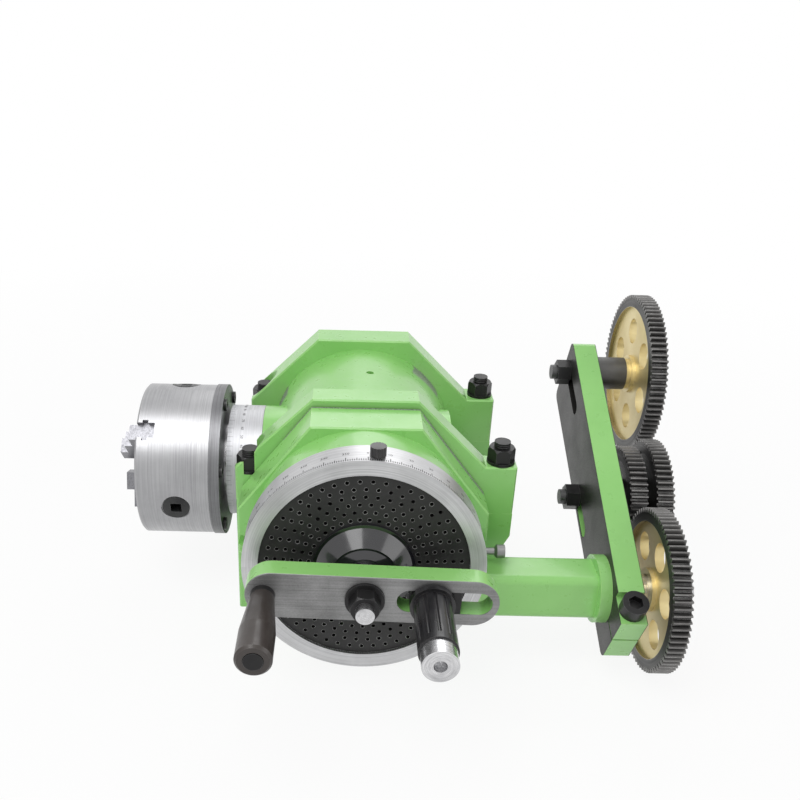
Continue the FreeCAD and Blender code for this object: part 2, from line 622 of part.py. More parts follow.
def side_shaft_arm():
    body = new_body("arm_tube_body")
    low, high = "-side_drop - arm_tall / 2", "arm_tall / 2 - side_drop"
    near, far = "-side_back - arm_deep / 2", "arm_deep / 2 - side_back"
    centre = ("-side_back", "-side_drop")
    outline_pad(body, "tube_square", "YZ_Plane", "arm_pad_end", [(near, low), (far, low), (far, high), (near, high)],
                "tube_end - arm_pad_end")
    round_edges(body, "tube_rounds", "Fillet", "arm_round",
                lambda e: straight(e) and abs(e.tangentAt(e.FirstParameter).x) > 0.99)
    disc_pad(body, "tube_flange", "YZ_Plane", "tube_end", centre, "flange_radius", "banjo_face - tube_end")
    disc_pad(body, "tube_journal", "YZ_Plane", "banjo_face", centre, "spigot_fit", "banjo_thick")
    disc_pad(body, "tube_spigot", "YZ_Plane", "spigot_start", centre, "spigot_radius_arm", "arm_pad_end - spigot_start")
    disc_pocket(body, "tube_bore", "YZ_Plane", "spigot_start", [centre], "side_radius + clear_gap",
                "banjo_face + banjo_thick - spigot_start", away=True)
    disc_pocket(body, "inner_bush_seat", "YZ_Plane", "spigot_start", [centre], "side_bush_outer",
                "side_bush_length", away=True)
    disc_pocket(body, "outer_bush_seat", "YZ_Plane", "banjo_face + banjo_thick - side_bush_length", [centre],
                "side_bush_outer", "side_bush_length", away=True)
    return finish(body, "side_shaft_arm")


def plate_lock_pin():
    spot = ("-lock_pin_back", "-lock_pin_down")
    rod = cylinder("lock_rod", "X", "lock_pin_radius", "lock_pin_inner", "lock_pin_length", spot)
    neck = cone("lock_neck", "X", "lock_pin_radius", "lock_head_radius", "lock_pin_inner + lock_pin_length",
                "lock_head_length / 4", spot)
    head = cylinder("lock_head", "X", "lock_head_radius", "lock_pin_inner + lock_pin_length + lock_head_length / 4",
                    "lock_head_length * 3 / 4", spot)
    return finish(fuse("lock_pin", [rod, neck, head]), "plate_lock_pin")


# -------------------------------------------------------------------- spindle
def spindle():
    fit = "clear_gap"
    blank = fuse("spindle_blank", [
        cylinder("spindle_spigot", "X", "spigot_radius", "-spigot_end", "spigot_end - nose_end"),
        cylinder("spindle_nose", "X", "nose_radius", "-nose_end", f"nose_end - barrel_end - {fit}"),
        cylinder("spindle_front_journal", "X", "front_journal", f"-barrel_end - {fit}", f"front_bush_depth + {fit}"),
        cylinder("spindle_middle", "X", "mid_radius", "front_bush_depth - barrel_end",
                 "barrel_end - front_bush_depth - wheel_width / 2"),
        cylinder("spindle_seat", "X", "wheel_seat", "-wheel_width / 2", f"rear_bush_start - {fit} + wheel_width / 2"),
        cylinder("spindle_rear_journal", "X", "rear_journal", f"rear_bush_start - {fit}",
                 f"rear_bush_end - rear_bush_start + {fit}"),
        cylinder("spindle_thread", "X", "rear_thread", "rear_bush_end", "rear_end - rear_bush_end")])
    tools = [
        cone("spindle_taper", "X", "taper_mouth", "taper_throat", "-spigot_end", "taper_length"),
        cylinder("spindle_bore", "X", "through_bore", "-spigot_end", "spigot_end + rear_end"),
        block("spindle_keyway", ("-wheel_width / 2", "-key_width / 2", "wheel_seat - key_height / 2"),
              ("wheel_width", "key_width", "key_height"))]
    return finish(cut("spindle_piece", blank, tools), "spindle")


def worm_wheel():
    width = value("wheel_width")
    solid = gear_on("X", int(value("wheel_teeth")), -width / 2, width, (0, 0), value("wheel_seat"), 90)
    key = Part.makeBox(width, value("key_width"), value("key_height"),
                       Vector(-width / 2, -value("key_width") / 2, value("wheel_seat - key_height / 2")))
    lifted(solid.cut(key), "worm_wheel")
    slot = block("key_block", ("-wheel_width / 2", "-key_width / 2", "wheel_seat - key_height / 2"),
                 ("wheel_width", "key_width", "key_height"))
    finish(group("key_piece", [slot]), "wheel_key")


def spindle_rings():
    nut = turned("rear_nut", "X", [("spindle_nut_radius", "rear_bush_end + clear_gap", "spindle_nut_width")],
                 [("rear_thread", "rear_bush_end + clear_gap", "spindle_nut_width")])
    finish(nut, "spindle_nut")
    length = "collar_front - barrel_end - clear_gap"
    blank = turned("collar_ring", "X", [("collar_radius", "-collar_front", length)],
                   [("nose_radius", "-collar_front", length)])
    finish(blank, "graduated_collar")


# ---------------------------------------------------------------------- chuck
def around_spindle(count, first):
    """Angles from the crank side (-Y) upwards, as turns about X."""
    return [-(first + i * 360 / count) for i in range(count)]


def turned_spot(radius, angle):
    """Place on a circle about the spindle, from -Y towards +Z by minus angle."""
    return f"-{radius} * cos({-angle})", f"{radius} * sin({-angle})"


def chuck_backplate():
    blank = fuse("backplate_blank", [
        cylinder("backplate_disc", "X", "backplate_radius", "-chuck_back", "chuck_back - plate_face"),
        cylinder("backplate_register", "X", "scroll_radius", "-chuck_back - register_depth", "register_depth")])
    tools = [cylinder("backplate_bore", "X", "spigot_radius", "-spigot_end", "spigot_end - plate_face"),
             cylinder("backplate_mouth", "X", "chuck_bore", "-chuck_back - register_depth", "register_depth")]
    for i, angle in enumerate(around_spindle(6, 17)):
        spot = turned_spot("chuck_screw_circle", angle)
        tools.append(cylinder(f"backplate_hole_{i}", "X", "chuck_screw_radius", "-chuck_back",
                              "chuck_back - plate_face", spot))
        tools.append(cylinder(f"backplate_sink_{i}", "X", "chuck_head_radius + clear_gap",
                              "-plate_face - chuck_head_sink", "chuck_head_sink + 1", spot))
    return finish(cut("backplate", blank, tools), "chuck_backplate")


def chuck_screws():
    screws = []
    for i, angle in enumerate(around_spindle(6, 17)):
        spot = turned_spot("chuck_screw_circle", angle)
        seat = "-plate_face - chuck_head_sink"
        head = cylinder(f"chuck_screw_head_{i}", "X", "chuck_head_radius", seat, "chuck_head_height", spot)
        shank = cylinder(f"chuck_screw_shank_{i}", "X", "chuck_screw_radius", f"{seat} - chuck_screw_length",
                         "chuck_screw_length", spot)
        socket = hexagon(f"chuck_screw_socket_{i}", "X", "chuck_screw_radius",
                         f"{seat} + chuck_head_height / 2", "chuck_head_height", spot)
        screws.append(cut(f"chuck_screw_{i}", fuse(f"chuck_screw_blank_{i}", [head, shank]), [socket]))
    return finish(group("all_chuck_screws", screws), "chuck_screws")


def chuck_body():
    length = "chuck_front - chuck_back"
    blank = cut("chuck_ring", fuse("chuck_outer", [
        cylinder("chuck_drum", "X", "chuck_radius", "chuck_edge - chuck_front", f"{length} - chuck_edge"),
        cone("chuck_rim", "X", "chuck_radius - chuck_edge", "chuck_radius", "-chuck_front", "chuck_edge")]),
        [cylinder("chuck_hole", "X", "chuck_bore", "-chuck_front", length),
         turned("scroll_chamber", "X", [("scroll_radius", "-scroll_face - clear_gap",
                                         "scroll_face + clear_gap - chuck_back")],
                [("scroll_hole", "-scroll_face - clear_gap", "scroll_face + clear_gap - chuck_back")]),
         cylinder("register_seat", "X", "scroll_radius", "-chuck_back - register_depth - clear_gap",
                  "register_depth + clear_gap")])
    depth = "chuck_front - scroll_face - clear_gap"
    tools = []
    for i, angle in enumerate(around_spindle(3, value("jaw_angle"))):
        slot = block(f"jaw_slot_{i}", ("-chuck_front", "-chuck_radius - 1", "-jaw_width / 2 - jaw_gap"),
                     (depth, "chuck_radius + 1", "jaw_width + 2 * jaw_gap"))
        side = block(f"jaw_groove_{i}", ("-chuck_front + tongue_depth - jaw_gap", "-chuck_radius - 1",
                                         "-jaw_tongue / 2 - jaw_gap"),
                     ("tongue_width + 2 * jaw_gap", "chuck_radius + 1", "jaw_tongue + 2 * jaw_gap"))
        pair = fuse(f"jaw_way_{i}", [slot, side])
        pair.Placement = FreeCAD.Placement(Vector(), Rotation(Vector(1, 0, 0), angle))
        tools.append(pair)
    for i, angle in enumerate(around_spindle(3, value("pinion_angle"))):
        hole = cylinder(f"pinion_hole_{i}", "Y", "pinion_radius + running_fit", "-chuck_radius - 1",
                        "chuck_radius + 1 - scroll_hole - 2", ("-pinion_line", "0"))
        arm = fuse(f"pinion_way_{i}", [hole, cylinder(f"pinion_edge_{i}", "Y", "pinion_radius + 1",
                                                      "-chuck_radius - 1", "2.5", ("-pinion_line", "0"))])
        arm.Placement = FreeCAD.Placement(Vector(), Rotation(Vector(1, 0, 0), angle))
        tools.append(arm)
    for i, angle in enumerate(around_spindle(6, 17)):
        tools.append(cylinder(f"chuck_thread_{i}", "X", "chuck_screw_radius",
                              "-plate_face - chuck_head_sink - chuck_screw_length",
                              "chuck_screw_length - chuck_back + plate_face + chuck_head_sink",
                              turned_spot("chuck_screw_circle", angle)))
    return finish(cut("chuck_piece", blank, tools), "chuck_body")


def scroll_plate():
    disc = turned("scroll_disc", "X", [("scroll_radius - clear_gap", "-scroll_face", "scroll_thick")],
                  [("scroll_hole + clear_gap", "-scroll_face", "scroll_thick")])
    return finish(disc, "scroll_plate")


def chuck_pinion(index, angle):
    name = f"pinion_{index}"
    length = "chuck_radius - 0.5 - pinion_inner"
    shaft = cylinder(name + "_shaft", "Y", "pinion_radius", "0.5 - chuck_radius", length, ("-pinion_line", "0"))
    tail = cone(name + "_tail", "Y", "pinion_radius - 1.2", "pinion_radius - 5", "-pinion_inner", "pinion_inner / 5",
                ("-pinion_line", "0"))
    socket = block(name + "_socket", ("-pinion_line - pinion_socket", "-chuck_radius", "-pinion_socket"),
                   ("2 * pinion_socket", "socket_depth", "2 * pinion_socket"))
    piece = cut(name + "_piece", fuse(name + "_blank", [shaft, tail]), [socket])
    return finish(piece, "chuck_" + name, f"{angle}", Vector(1, 0, 0))


def chuck_jaw(index, angle):
    """Stepped jaw, drawn on the crank side and turned into its slot."""
    name = f"jaw_{index}"
    foot = "chuck_front - scroll_face - clear_gap - 0.5"
    reach = "3 * jaw_step"
    root = block(name + "_root", ("-chuck_front", f"-jaw_inner - {reach}", "-jaw_width / 2"),
                 (foot, reach, "jaw_width"))
    tongue = block(name + "_tongue", ("-chuck_front + tongue_depth", f"-jaw_inner - {reach}", "-jaw_tongue / 2"),
                   ("tongue_width", reach, "jaw_tongue"))
    steps = []
    for i in range(3):
        rise = f"(3 - {i}) * jaw_rise"
        steps.append(block(f"{name}_rise_{i}", (f"-chuck_front - {rise}", f"-jaw_inner - {i + 1} * jaw_step",
                                                "-jaw_width / 2"), (rise, "jaw_step", "jaw_width")))
    return finish(fuse(name + "_piece", [root, tongue] + steps), "chuck_" + name, f"{angle}", Vector(1, 0, 0))


# ----------------------------------------------------------------- worm drive
def worm_drive():
    drop = ("0", "-worm_drop")
    worm_radius = "worm_drop - gear_module * wheel_teeth / 2 - gear_module - clear_gap"
    half = "worm_length / 2"
    steps = [("worm_journal", "-spur_back - spur_width", "spur_back + spur_width + worm_rear - clear_gap"),
             (f"{worm_radius} - gear_module * 1.5", f"-{half}", "worm_length")]
    ridges = [(worm_radius, f"{k} * gear_module * pi - gear_module / 2", "gear_module") for k in range(-2, 3)]
    finish(turned("worm_piece", "Y", steps + ridges, centre=drop), "worm_shaft")
    teeth = int(value("spur_teeth"))
    gear = gear_on("Y", teeth, -value("spur_back + spur_width"), value("spur_width"), (0, -value("worm_drop")),
                   value("worm_journal"), -90 + 180 / teeth)
    lifted(gear, "worm_spur_gear")


def crank_shaft():
    """Shaft with its spur gear, the bright shoulder behind the arm and the threaded end."""
    teeth = int(value("spur_teeth"))
    gear = gear_on("Y", teeth, -value("spur_back + spur_width"), value("spur_width"), (0, 0), 0, 90)
    front = value("arm_back")
    end = value("arm_back + arm_thick + washer_thick + crank_nut_height + crank_stud_proud")
    shape = gear.fuse([
        disc_at("Y", value("crank_journal"), -value("spur_back"), value("spur_back - crank_inner_end")),
        disc_at("Y", value("crank_radius"), -front, front - value("spur_back + spur_width")),
        disc_at("Y", value("shoulder_radius"), -front, front - value("hub_front") - 0.5),
        disc_at("Y", value("stud_radius"), -end, end - front)]).removeSplitter()
    return lifted(shape, "crank_shaft")


# ------------------------------------------------------- index plate and ring
def index_plate():
    body = new_body("index_plate_body")
    back = "plate_front - plate_thick"
    sketch = sketch_on(body, "plate_disc", "XZ_Plane", back)
    add_circle(sketch, ("0", "0"), "plate_radius")
    add_circle(sketch, ("0", "0"), "sleeve_radius")
    pad(body, sketch, "plate_thick")
    doc.recompute()
    holes = sketch_on(body, "hole_circles", "XZ_Plane", back)
    for row, count in enumerate(CIRCLE_HOLES):
        radius = f"(pin_circle + ({row} - 1) * circle_pitch)"
        for i in range(count):
            angle = f"({i} * 360 / {count} - crank_angle)"
            spot = Vector(value(f"{radius} * cos({angle})"), value(f"{radius} * sin({angle})"), 0)
            holes.addGeometry(Part.Circle(spot, Vector(0, 0, 1), value("hole_radius")))
    pocket(body, holes, "plate_thick", away=True)
    return finish(body, "index_plate")


def dial_ring():
    depth = "plate_front - plate_thick - ring_back"
    rim = turned("ring_rim", "Y", [("ring_radius", "-ring_front", "ring_front - ring_back")],
                 [("sleeve_radius", "-ring_front", "ring_front - ring_back"),
                  ("plate_radius", "-ring_front", f"ring_front - ring_back - ({depth})")])
    hole = cylinder("ring_screw_hole", "Z", "lock_screw_radius + running_fit", "plate_radius", "ring_radius",
                    ("lock_screw_right", "-lock_screw_back"))
    return finish(cut("ring_piece", rim, [hole]), "dial_ring")


def plate_hub():
    """Black hub on the plate, with the hollow sleeve and gear behind it."""
    front = value("plate_front")
    rim = value("hub_rim")
    cone_start = front + rim
    cone_end = cone_start + value("hub_cone")
    gear_front = value("side_back + sleeve_gear_width / 2")
    gear_back = value("side_back - sleeve_gear_width / 2")
    outer = disc_at("Y", value("hub_radius"), -cone_start, rim)
    slope = Part.makeCone(value("hub_radius") - rim, value("hub_waist"), value("hub_cone"),
                          Vector(0, -cone_start, 0), Vector(0, -1, 0))
    nose = Part.makeCone(value("hub_waist") - 2, value("hub_nose"), value("hub_front") - cone_end,
                         Vector(0, -cone_end, 0), Vector(0, -1, 0))
    sleeve = disc_at("Y", value("sleeve_radius"), -front, front - gear_back)
    teeth = 24
    half = math.pi / teeth
    tip = value("sleeve_gear_radius")
    root = tip - 2 * value("gear_module")
    corners = []
    for i in range(teeth):
        for radius, turn in ((root, -0.75), (tip, -0.3), (tip, 0.3), (root, 0.75)):
            angle = (2 * i + turn) * half
            corners.append(Vector(radius * math.cos(angle), 0, radius * math.sin(angle)))
    gear = Part.Face(Part.makePolygon(corners + [corners[0]])).extrude(Vector(0, gear_front - gear_back, 0))
    gear.translate(Vector(0, -gear_front, 0))
    bore = disc_at("Y", value("crank_radius + running_fit"), -value("hub_front"), value("hub_front"))
    return lifted(outer.fuse([slope, nose, sleeve, gear]).removeSplitter().cut(bore), "plate_hub")


def ring_lock_screw():
    spot = ("lock_screw_right", "-lock_screw_back")
    stem = cylinder("lock_stem", "Z", "lock_screw_radius", "plate_radius + 2", "ring_radius - plate_radius", spot)
    knob = cylinder("lock_knob", "Z", "lock_knob_radius", "ring_radius + clear_gap", "lock_knob_height", spot)
    flutes = []
    for i in range(int(value("lock_flutes"))):
        angle = f"({i} * 360 / lock_flutes)"
        place = (f"lock_screw_right + lock_knob_radius * cos({angle})",
                 f"lock_knob_radius * sin({angle}) - lock_screw_back")
        flutes.append(cylinder(f"lock_flute_{i}", "Z", "lock_knob_radius / 14", "ring_radius + clear_gap",
                               "lock_knob_height", place))
    return finish(cut("lock_screw", fuse("lock_screw_blank", [stem, knob]), flutes), "ring_lock_screw")


# ------------------------------------------------------ crank arm and plunger
def crank_arm():
    body = new_body("crank_arm_body")
    sketch = sketch_on(body, "arm_outline", "XZ_Plane", "arm_back")
    left, right = "arm_half - arm_left", "arm_right - arm_half"
    add_capsule(sketch, left, right, "arm_half")
    pad(body, sketch, "arm_thick")
    doc.recompute()
    front = -value("arm_back + arm_thick")
    round_edges(body, "arm_bevel", "Fillet", "arm_edge", lambda e: level_with(e, "y", front))
    slot = sketch_on(body, "arm_slot", "XZ_Plane", "arm_back")
    add_capsule(slot, "slot_left + slot_half", "slot_right - slot_half", "slot_half")
    pocket(body, slot, "arm_thick", away=True)
    disc_pocket(body, "arm_bore_hole", "XZ_Plane", "arm_back", [("0", "0")], "stud_radius", "arm_thick", away=True)
    disc_pocket(body, "grip_hole", "XZ_Plane", "arm_back", [("-grip_offset", "0")], "grip_pin_root", "arm_thick",
                away=True)
    return finish(body, "crank_arm", "crank_angle")


def add_capsule(sketch, left, right, radius):
    """Slot outline between two centres on the sketch's x axis, bound to the sheet."""
    a, b, r = value(left), value(right), value(radius)
    first = sketch.GeometryCount
    up, down = Vector(0, r, 0), Vector(0, -r, 0)
    sketch.addGeometry(Part.ArcOfCircle(Part.Circle(Vector(b, 0, 0), Vector(0, 0, 1), r), -math.pi / 2, math.pi / 2))
    sketch.addGeometry(Part.LineSegment(Vector(b, 0, 0) + up, Vector(a, 0, 0) + up))
    sketch.addGeometry(Part.ArcOfCircle(Part.Circle(Vector(a, 0, 0), Vector(0, 0, 1), r), math.pi / 2, 3 * math.pi / 2))
    sketch.addGeometry(Part.LineSegment(Vector(a, 0, 0) + down, Vector(b, 0, 0) + down))
    for one, end, other, start in ((0, 2, 1, 1), (1, 2, 2, 1), (2, 2, 3, 1), (3, 2, 0, 1)):
        sketch.addConstraint(Sketcher.Constraint("Tangent", first + one, end, first + other, start))
    sketch.addConstraint(Sketcher.Constraint("Horizontal", first + 1))
    bound(sketch, "DistanceX", first, 3, right)
    bound(sketch, "DistanceX", first + 2, 3, left)
    sketch.addConstraint(Sketcher.Constraint("PointOnObject", first, 3, -1))
    sketch.addConstraint(Sketcher.Constraint("PointOnObject", first + 2, 3, -1))
    size = sketch.addConstraint(Sketcher.Constraint("Radius", first, r))
    sketch.setExpression(f"Constraints[{size}]", bind(radius))


def crank_fasteners():
    face = "-arm_back - arm_thick"
    washer = turned("crank_washer_ring", "Y", [("crank_washer_radius", f"{face} - washer_thick", "washer_thick")],
                    [("stud_radius", f"{face} - washer_thick", "washer_thick")])
    finish(washer, "crank_washer", "crank_angle")
    start = f"{face} - washer_thick - crank_nut_height"
    head = hexagon("crank_nut_hexagon", "Y", "nut_radius", start, "crank_nut_height")
    crown = cone("crank_nut_crown", "Y", "nut_radius * 0.88", "nut_radius * 1.5", start, "crank_nut_height")
    blank = doc.addObject("Part::Common", "crank_nut_blank")
    blank.Base, blank.Tool = head, crown
    hole = cylinder("crank_nut_hole", "Y", "stud_radius", start, "crank_nut_height")
    finish(cut("crank_nut_piece", blank, [hole]), "crank_nut", "crank_angle")


def crank_handle():
    face = "-arm_back - arm_thick"
    spot = ("-grip_offset", "0")
    tip = f"{face} - grip_collar - grip_length"
    pin = turned("grip_pin_piece", "Y", [
        ("grip_pin_root", face, "arm_thick"),
        ("grip_neck", f"{face} - grip_collar", "grip_collar"),
        ("grip_pin", f"{tip} - clear_gap", "grip_length + clear_gap"),
        ("grip_head", f"{tip} - clear_gap * 2", "grip_head_height")], centre=spot)
    finish(pin, "handle_pin", "crank_angle")
    start = f"{face} - grip_collar - clear_gap"
    neck = cone("grip_taper_cone", "Y", "grip_radius", "grip_neck", f"{start} - grip_taper", "grip_taper", spot)
    rest = cylinder("grip_body", "Y", "grip_radius", f"{tip} + 2", f"grip_length - grip_taper - 2 - clear_gap", spot)
    end = cone("grip_end", "Y", "grip_radius - 2", "grip_radius", tip, "2", spot)
    bore = cylinder("grip_bore", "Y", "grip_pin + clear_gap", tip, "grip_length", spot)
    sink = cylinder("grip_sink", "Y", "grip_head + clear_gap", tip, "grip_head_height", spot)
    finish(cut("grip_piece", fuse("grip_blank", [neck, rest, end]), [bore, sink]), "handle_grip", "crank_angle")


def plunger_block():
    """Sliding block in the arm's slot, with the barrel that guides the index pin."""
    body = new_body("block_body")
    tall = "(slot_half - block_fit)"
    low = "arm_back + 0.5"
    outline_pad(body, "block_outline", "XZ_Plane", low,
                [("pin_circle - block_left", f"-{tall}"), ("pin_circle + block_right", f"-{tall}"),
                 ("pin_circle + block_right", tall), ("pin_circle - block_left", tall)], "arm_thick - 1")
    disc_pad(body, "block_barrel", "XZ_Plane", "arm_back + arm_thick / 2", ("pin_circle", "0"), "barrel_outer - 0.2",
             "barrel_length + arm_thick / 2")
    disc_pocket(body, "barrel_hollow", "XZ_Plane", "arm_back + arm_thick / 2", [("pin_circle", "0")],
                "barrel_inner", "barrel_length + arm_thick / 2 - barrel_wall", away=True)
    disc_pocket(body, "pin_way", "XZ_Plane", low, [("pin_circle", "0")], "pin_radius + running_fit",
                "barrel_length + arm_thick", away=True)
    return finish(body, "plunger_block", "crank_angle")


def plunger():
    """Index pin with the pull knob and its bright end sleeve."""
    spot = ("pin_circle", "0")
    face = "-arm_back - arm_thick"
    knob_back = f"{face} - 1 - clear_gap"
    sleeve_end = f"{face} - 1 - clear_gap - knob_flange_thick - knob_length"
    tip = "-plate_front - 0.5"
    pin = turned("index_pin_piece", "Y", [
        ("pin_tip_radius", f"{tip} - pin_tip_length", "pin_tip_length"),
        ("pin_radius", f"{sleeve_end}", f"-({sleeve_end}) + ({tip} - pin_tip_length)"),
        ("pin_collar", "-arm_back - arm_thick / 2 - collar_seat", "collar_seat - 1")], centre=spot)
    finish(pin, "index_pin", "crank_angle")
    flange = cylinder("knob_flange_disc", "Y", "knob_flange", f"{knob_back} - knob_flange_thick",
                      "knob_flange_thick", spot)
    sleeve = cylinder("knob_sleeve", "Y", "knob_radius", sleeve_end, "knob_length", spot)
    hollow = cylinder("knob_hollow", "Y", "barrel_outer + clear_gap", f"{face} - barrel_length - 9",
                      "barrel_length + 9", spot)
    bore = cylinder("knob_bore", "Y", "pin_radius", sleeve_end, "knob_length", spot)
    flutes = []
    for i in range(int(value("knob_flutes"))):
        angle = f"({i} * 360 / knob_flutes)"
        place = (f"pin_circle + (knob_radius + flute_radius * 0.3) * cos({angle})",
                 f"(knob_radius + flute_radius * 0.3) * sin({angle})")
        flutes.append(cylinder(f"knob_flute_{i}", "Y", "flute_radius", f"{sleeve_end} + 7", "knob_length - 8", place))
    finish(cut("knob_piece", fuse("knob_blank", [flange, sleeve]), [hollow, bore] + flutes), "plunger_knob",
           "crank_angle")
    end = turned("end_sleeve_piece", "Y", [("end_radius", f"{sleeve_end} - end_length", "end_length")],
                 [("end_bore", f"{sleeve_end} - end_length", "end_bore_depth")], spot)
    finish(end, "knob_end_sleeve", "crank_angle")


def plunger_spring():
    """Coil spring round the pin, inside the barrel of the block."""
    wire = value("spring_wire")
    start = value("arm_back + arm_thick / 2 + collar_seat + spring_wire + spring_slack")
    length = value("barrel_length + arm_thick / 2 - barrel_wall - collar_seat - 2 * (spring_wire + spring_slack)")
    radius = value("(pin_radius + barrel_inner) / 2")
    path = Part.makeHelix(value("spring_pitch"), length, radius)
    profile = Part.Wire(Part.makeCircle(wire, Vector(radius, 0, 0), Vector(0, 1, 0)))
    coil = Part.Wire(path).makePipeShell([profile], True, True)
    coil.Placement = FreeCAD.Placement(Vector(value("pin_circle"), -start, 0), Rotation(Vector(1, 0, 0), 90))
    return lifted(coil, "plunger_spring", value("crank_angle"))


# -------------------------------------------------- side shaft, banjo, gears
def banjo_point(along, across):
    """Place in the Y, Z plane of a point on the banjo, from the side shaft's axis."""
    turn = math.radians(value("banjo_angle"))
    return (along * math.cos(turn) - across * math.sin(turn) - value("side_back"),
            along * math.sin(turn) + across * math.cos(turn) - value("side_drop"))


def mid_stud_place():
    """Where the middle gears mesh with both the side shaft's gear and the top gear."""
    module = value("gear_module")
    along, across = value("top_along"), value("top_across")
    apart = math.hypot(along, across)
    low = module * value("side_teeth + mid_small_teeth") / 2
    high = module * value("top_teeth + mid_large_teeth") / 2
    on_line = (low ** 2 - high ** 2 + apart ** 2) / (2 * apart)
    below = math.sqrt(low ** 2 - on_line ** 2)
    ca, sa = along / apart, across / apart
    return on_line * ca + below * sa, on_line * sa - below * ca


def banjo_frame():
    turn = math.radians(value("banjo_angle"))
    lengthwise = Vector(0, math.cos(turn), math.sin(turn))
    upward = Vector(0, -math.sin(turn), math.cos(turn))
    return Rotation(lengthwise, upward, Vector(1, 0, 0), "ZXY")


def place_on_banjo(item, label, start):
    """Turn a piece drawn on the banjo's own axes into place."""
    item.Placement = FreeCAD.Placement(Vector(0, 0, 0), banjo_frame())
    item.setExpression("Placement.Base.x", bind(start))
    item.setExpression("Placement.Base.y", bind("-side_back"))
    item.setExpression("Placement.Base.z", bind("spindle_height - side_drop"))
    item.Label = label
    PARTS.append(item)


def slot_corners(middle, across, reach):
    half = "slot_width / 2"
    return [(f"{middle} - {reach}", f"{across} - {half}"), (f"{middle} + {half}", f"{across} - {half}"),
            (f"{middle} + {half}", f"{across} + {half}"), (f"{middle} - {reach}", f"{across} + {half}")]


def banjo_plate():
    body = new_body("banjo_body")
    outline_pad(body, "banjo_outline", "XY_Plane", "0",
                [("-banjo_low", "-banjo_half_low"), ("banjo_high", "-banjo_half_high"),
                 ("banjo_high", "banjo_half_high"), ("-banjo_low", "banjo_half_low")], "banjo_thick")
    round_edges(body, "banjo_rounds", "Fillet", "banjo_round",
                lambda e: straight(e) and abs(e.tangentAt(e.FirstParameter).z) > 0.99)
    outline_pocket(body, "clamp_notch", "XY_Plane", "0",
                   [("-banjo_low - 1", "clamp_seat"), ("clamp_head_radius + 2 - clamp_screw_offset", "clamp_seat"),
                    ("clamp_head_radius + 2 - clamp_screw_offset", "banjo_half_high"),
                    ("-banjo_low - 1", "banjo_half_high")], "banjo_thick", away=True)
    disc_pocket(body, "shaft_eye", "XY_Plane", "0", [("0", "0")], "spigot_fit", "banjo_thick", away=True)
    outline_pocket(body, "clamp_slit", "XY_Plane", "0",
                   [("-banjo_low - 1", "-slit_half"), ("0", "-slit_half"), ("0", "slit_half"),
                    ("-banjo_low - 1", "slit_half")], "banjo_thick", away=True)
    outline_pocket(body, "top_slot", "XY_Plane", "0", slot_corners("top_along", "top_across", "60"), "banjo_thick",
                   away=True)
    along, across = mid_stud_place()
    outline_pocket(body, "mid_slot", "XY_Plane", "0", slot_corners(f"{along:.6f}", f"({across:.6f})", "50"),
                   "banjo_thick", away=True)
    round_edges(body, "slot_rounds", "Fillet", "slot_width * 0.49",
                lambda e: straight(e) and abs(e.tangentAt(e.FirstParameter).z) > 0.99
                and inside_slots(e.BoundBox.Center, along, across))
    disc_pocket(body, "clamp_screw_way", "XZ_Plane", "-banjo_half_high",
                [("-clamp_screw_offset", "banjo_thick / 2")], "clamp_screw_radius",
                "clamp_screw_length + banjo_half_high - clamp_seat", away=True)
    place_on_banjo(body, "banjo_plate", "banjo_face")


def inside_slots(spot, along, across):
    half = value("slot_width") / 2 + 0.1
    top = abs(spot.y - value("top_across")) < half and spot.x > value("top_along") - 61
    middle = abs(spot.y - across) < half and along - 51 < spot.x < along + half
    return (top and spot.x < value("banjo_high") - 1) or middle


def banjo_clamp_screw():
    spot = ("-clamp_screw_offset", "banjo_thick / 2")
    head = cylinder("clamp_head", "Y", "clamp_head_radius", "clamp_seat", "clamp_head_height", spot)
    shank = cylinder("clamp_shank", "Y", "clamp_screw_radius", "clamp_seat - clamp_screw_length",
                     "clamp_screw_length", spot)
    socket = hexagon("clamp_socket_hexagon", "Y", "clamp_socket", "clamp_seat + clamp_head_height / 2",
                     "clamp_head_height", spot)
    piece = cut("clamp_screw_piece", fuse("clamp_screw_blank", [head, shank]), [socket])
    place_on_banjo(piece, "banjo_clamp_screw", "banjo_face")


def side_shaft():
    centre = ("-side_back", "-side_drop")
    face = "banjo_face + banjo_thick"
    gear_end = f"{face} + gear_gap + gear_width"
    steps = [("side_radius", "-side_gear_width / 2", f"{gear_end} + side_gear_width / 2"),
             ("side_gear_radius", "-side_gear_width / 2", "side_gear_width"),
             ("side_bush_outer", f"{face} + clear_gap", "gear_gap - clear_gap"),
             ("side_radius - 0.5", gear_end, "end_washer_thick + end_nut_height + shaft_proud")]
    finish(turned("side_shaft_piece", "X", steps, centre=centre), "side_shaft")
    washer = turned("end_washer", "X", [("end_washer_radius", gear_end, "end_washer_thick")],
                    [("side_radius - 0.5", gear_end, "end_washer_thick")], centre)
    start = f"{gear_end} + end_washer_thick"
    head = hexagon("end_nut_hexagon", "X", "end_nut_radius", start, "end_nut_height", centre)
    crown = cone("end_nut_crown", "X", "end_nut_radius * 1.5", "end_nut_radius * 0.88", start, "end_nut_height",
                 centre)
    blank = doc.addObject("Part::Common", "end_nut_blank")
    blank.Base, blank.Tool = head, crown
    hole = cylinder("end_nut_hole", "X", "side_radius - 0.5", start, "end_nut_height", centre)
    finish(washer, "side_shaft_washer")
    finish(cut("end_nut", blank, [hole]), "side_shaft_nut")


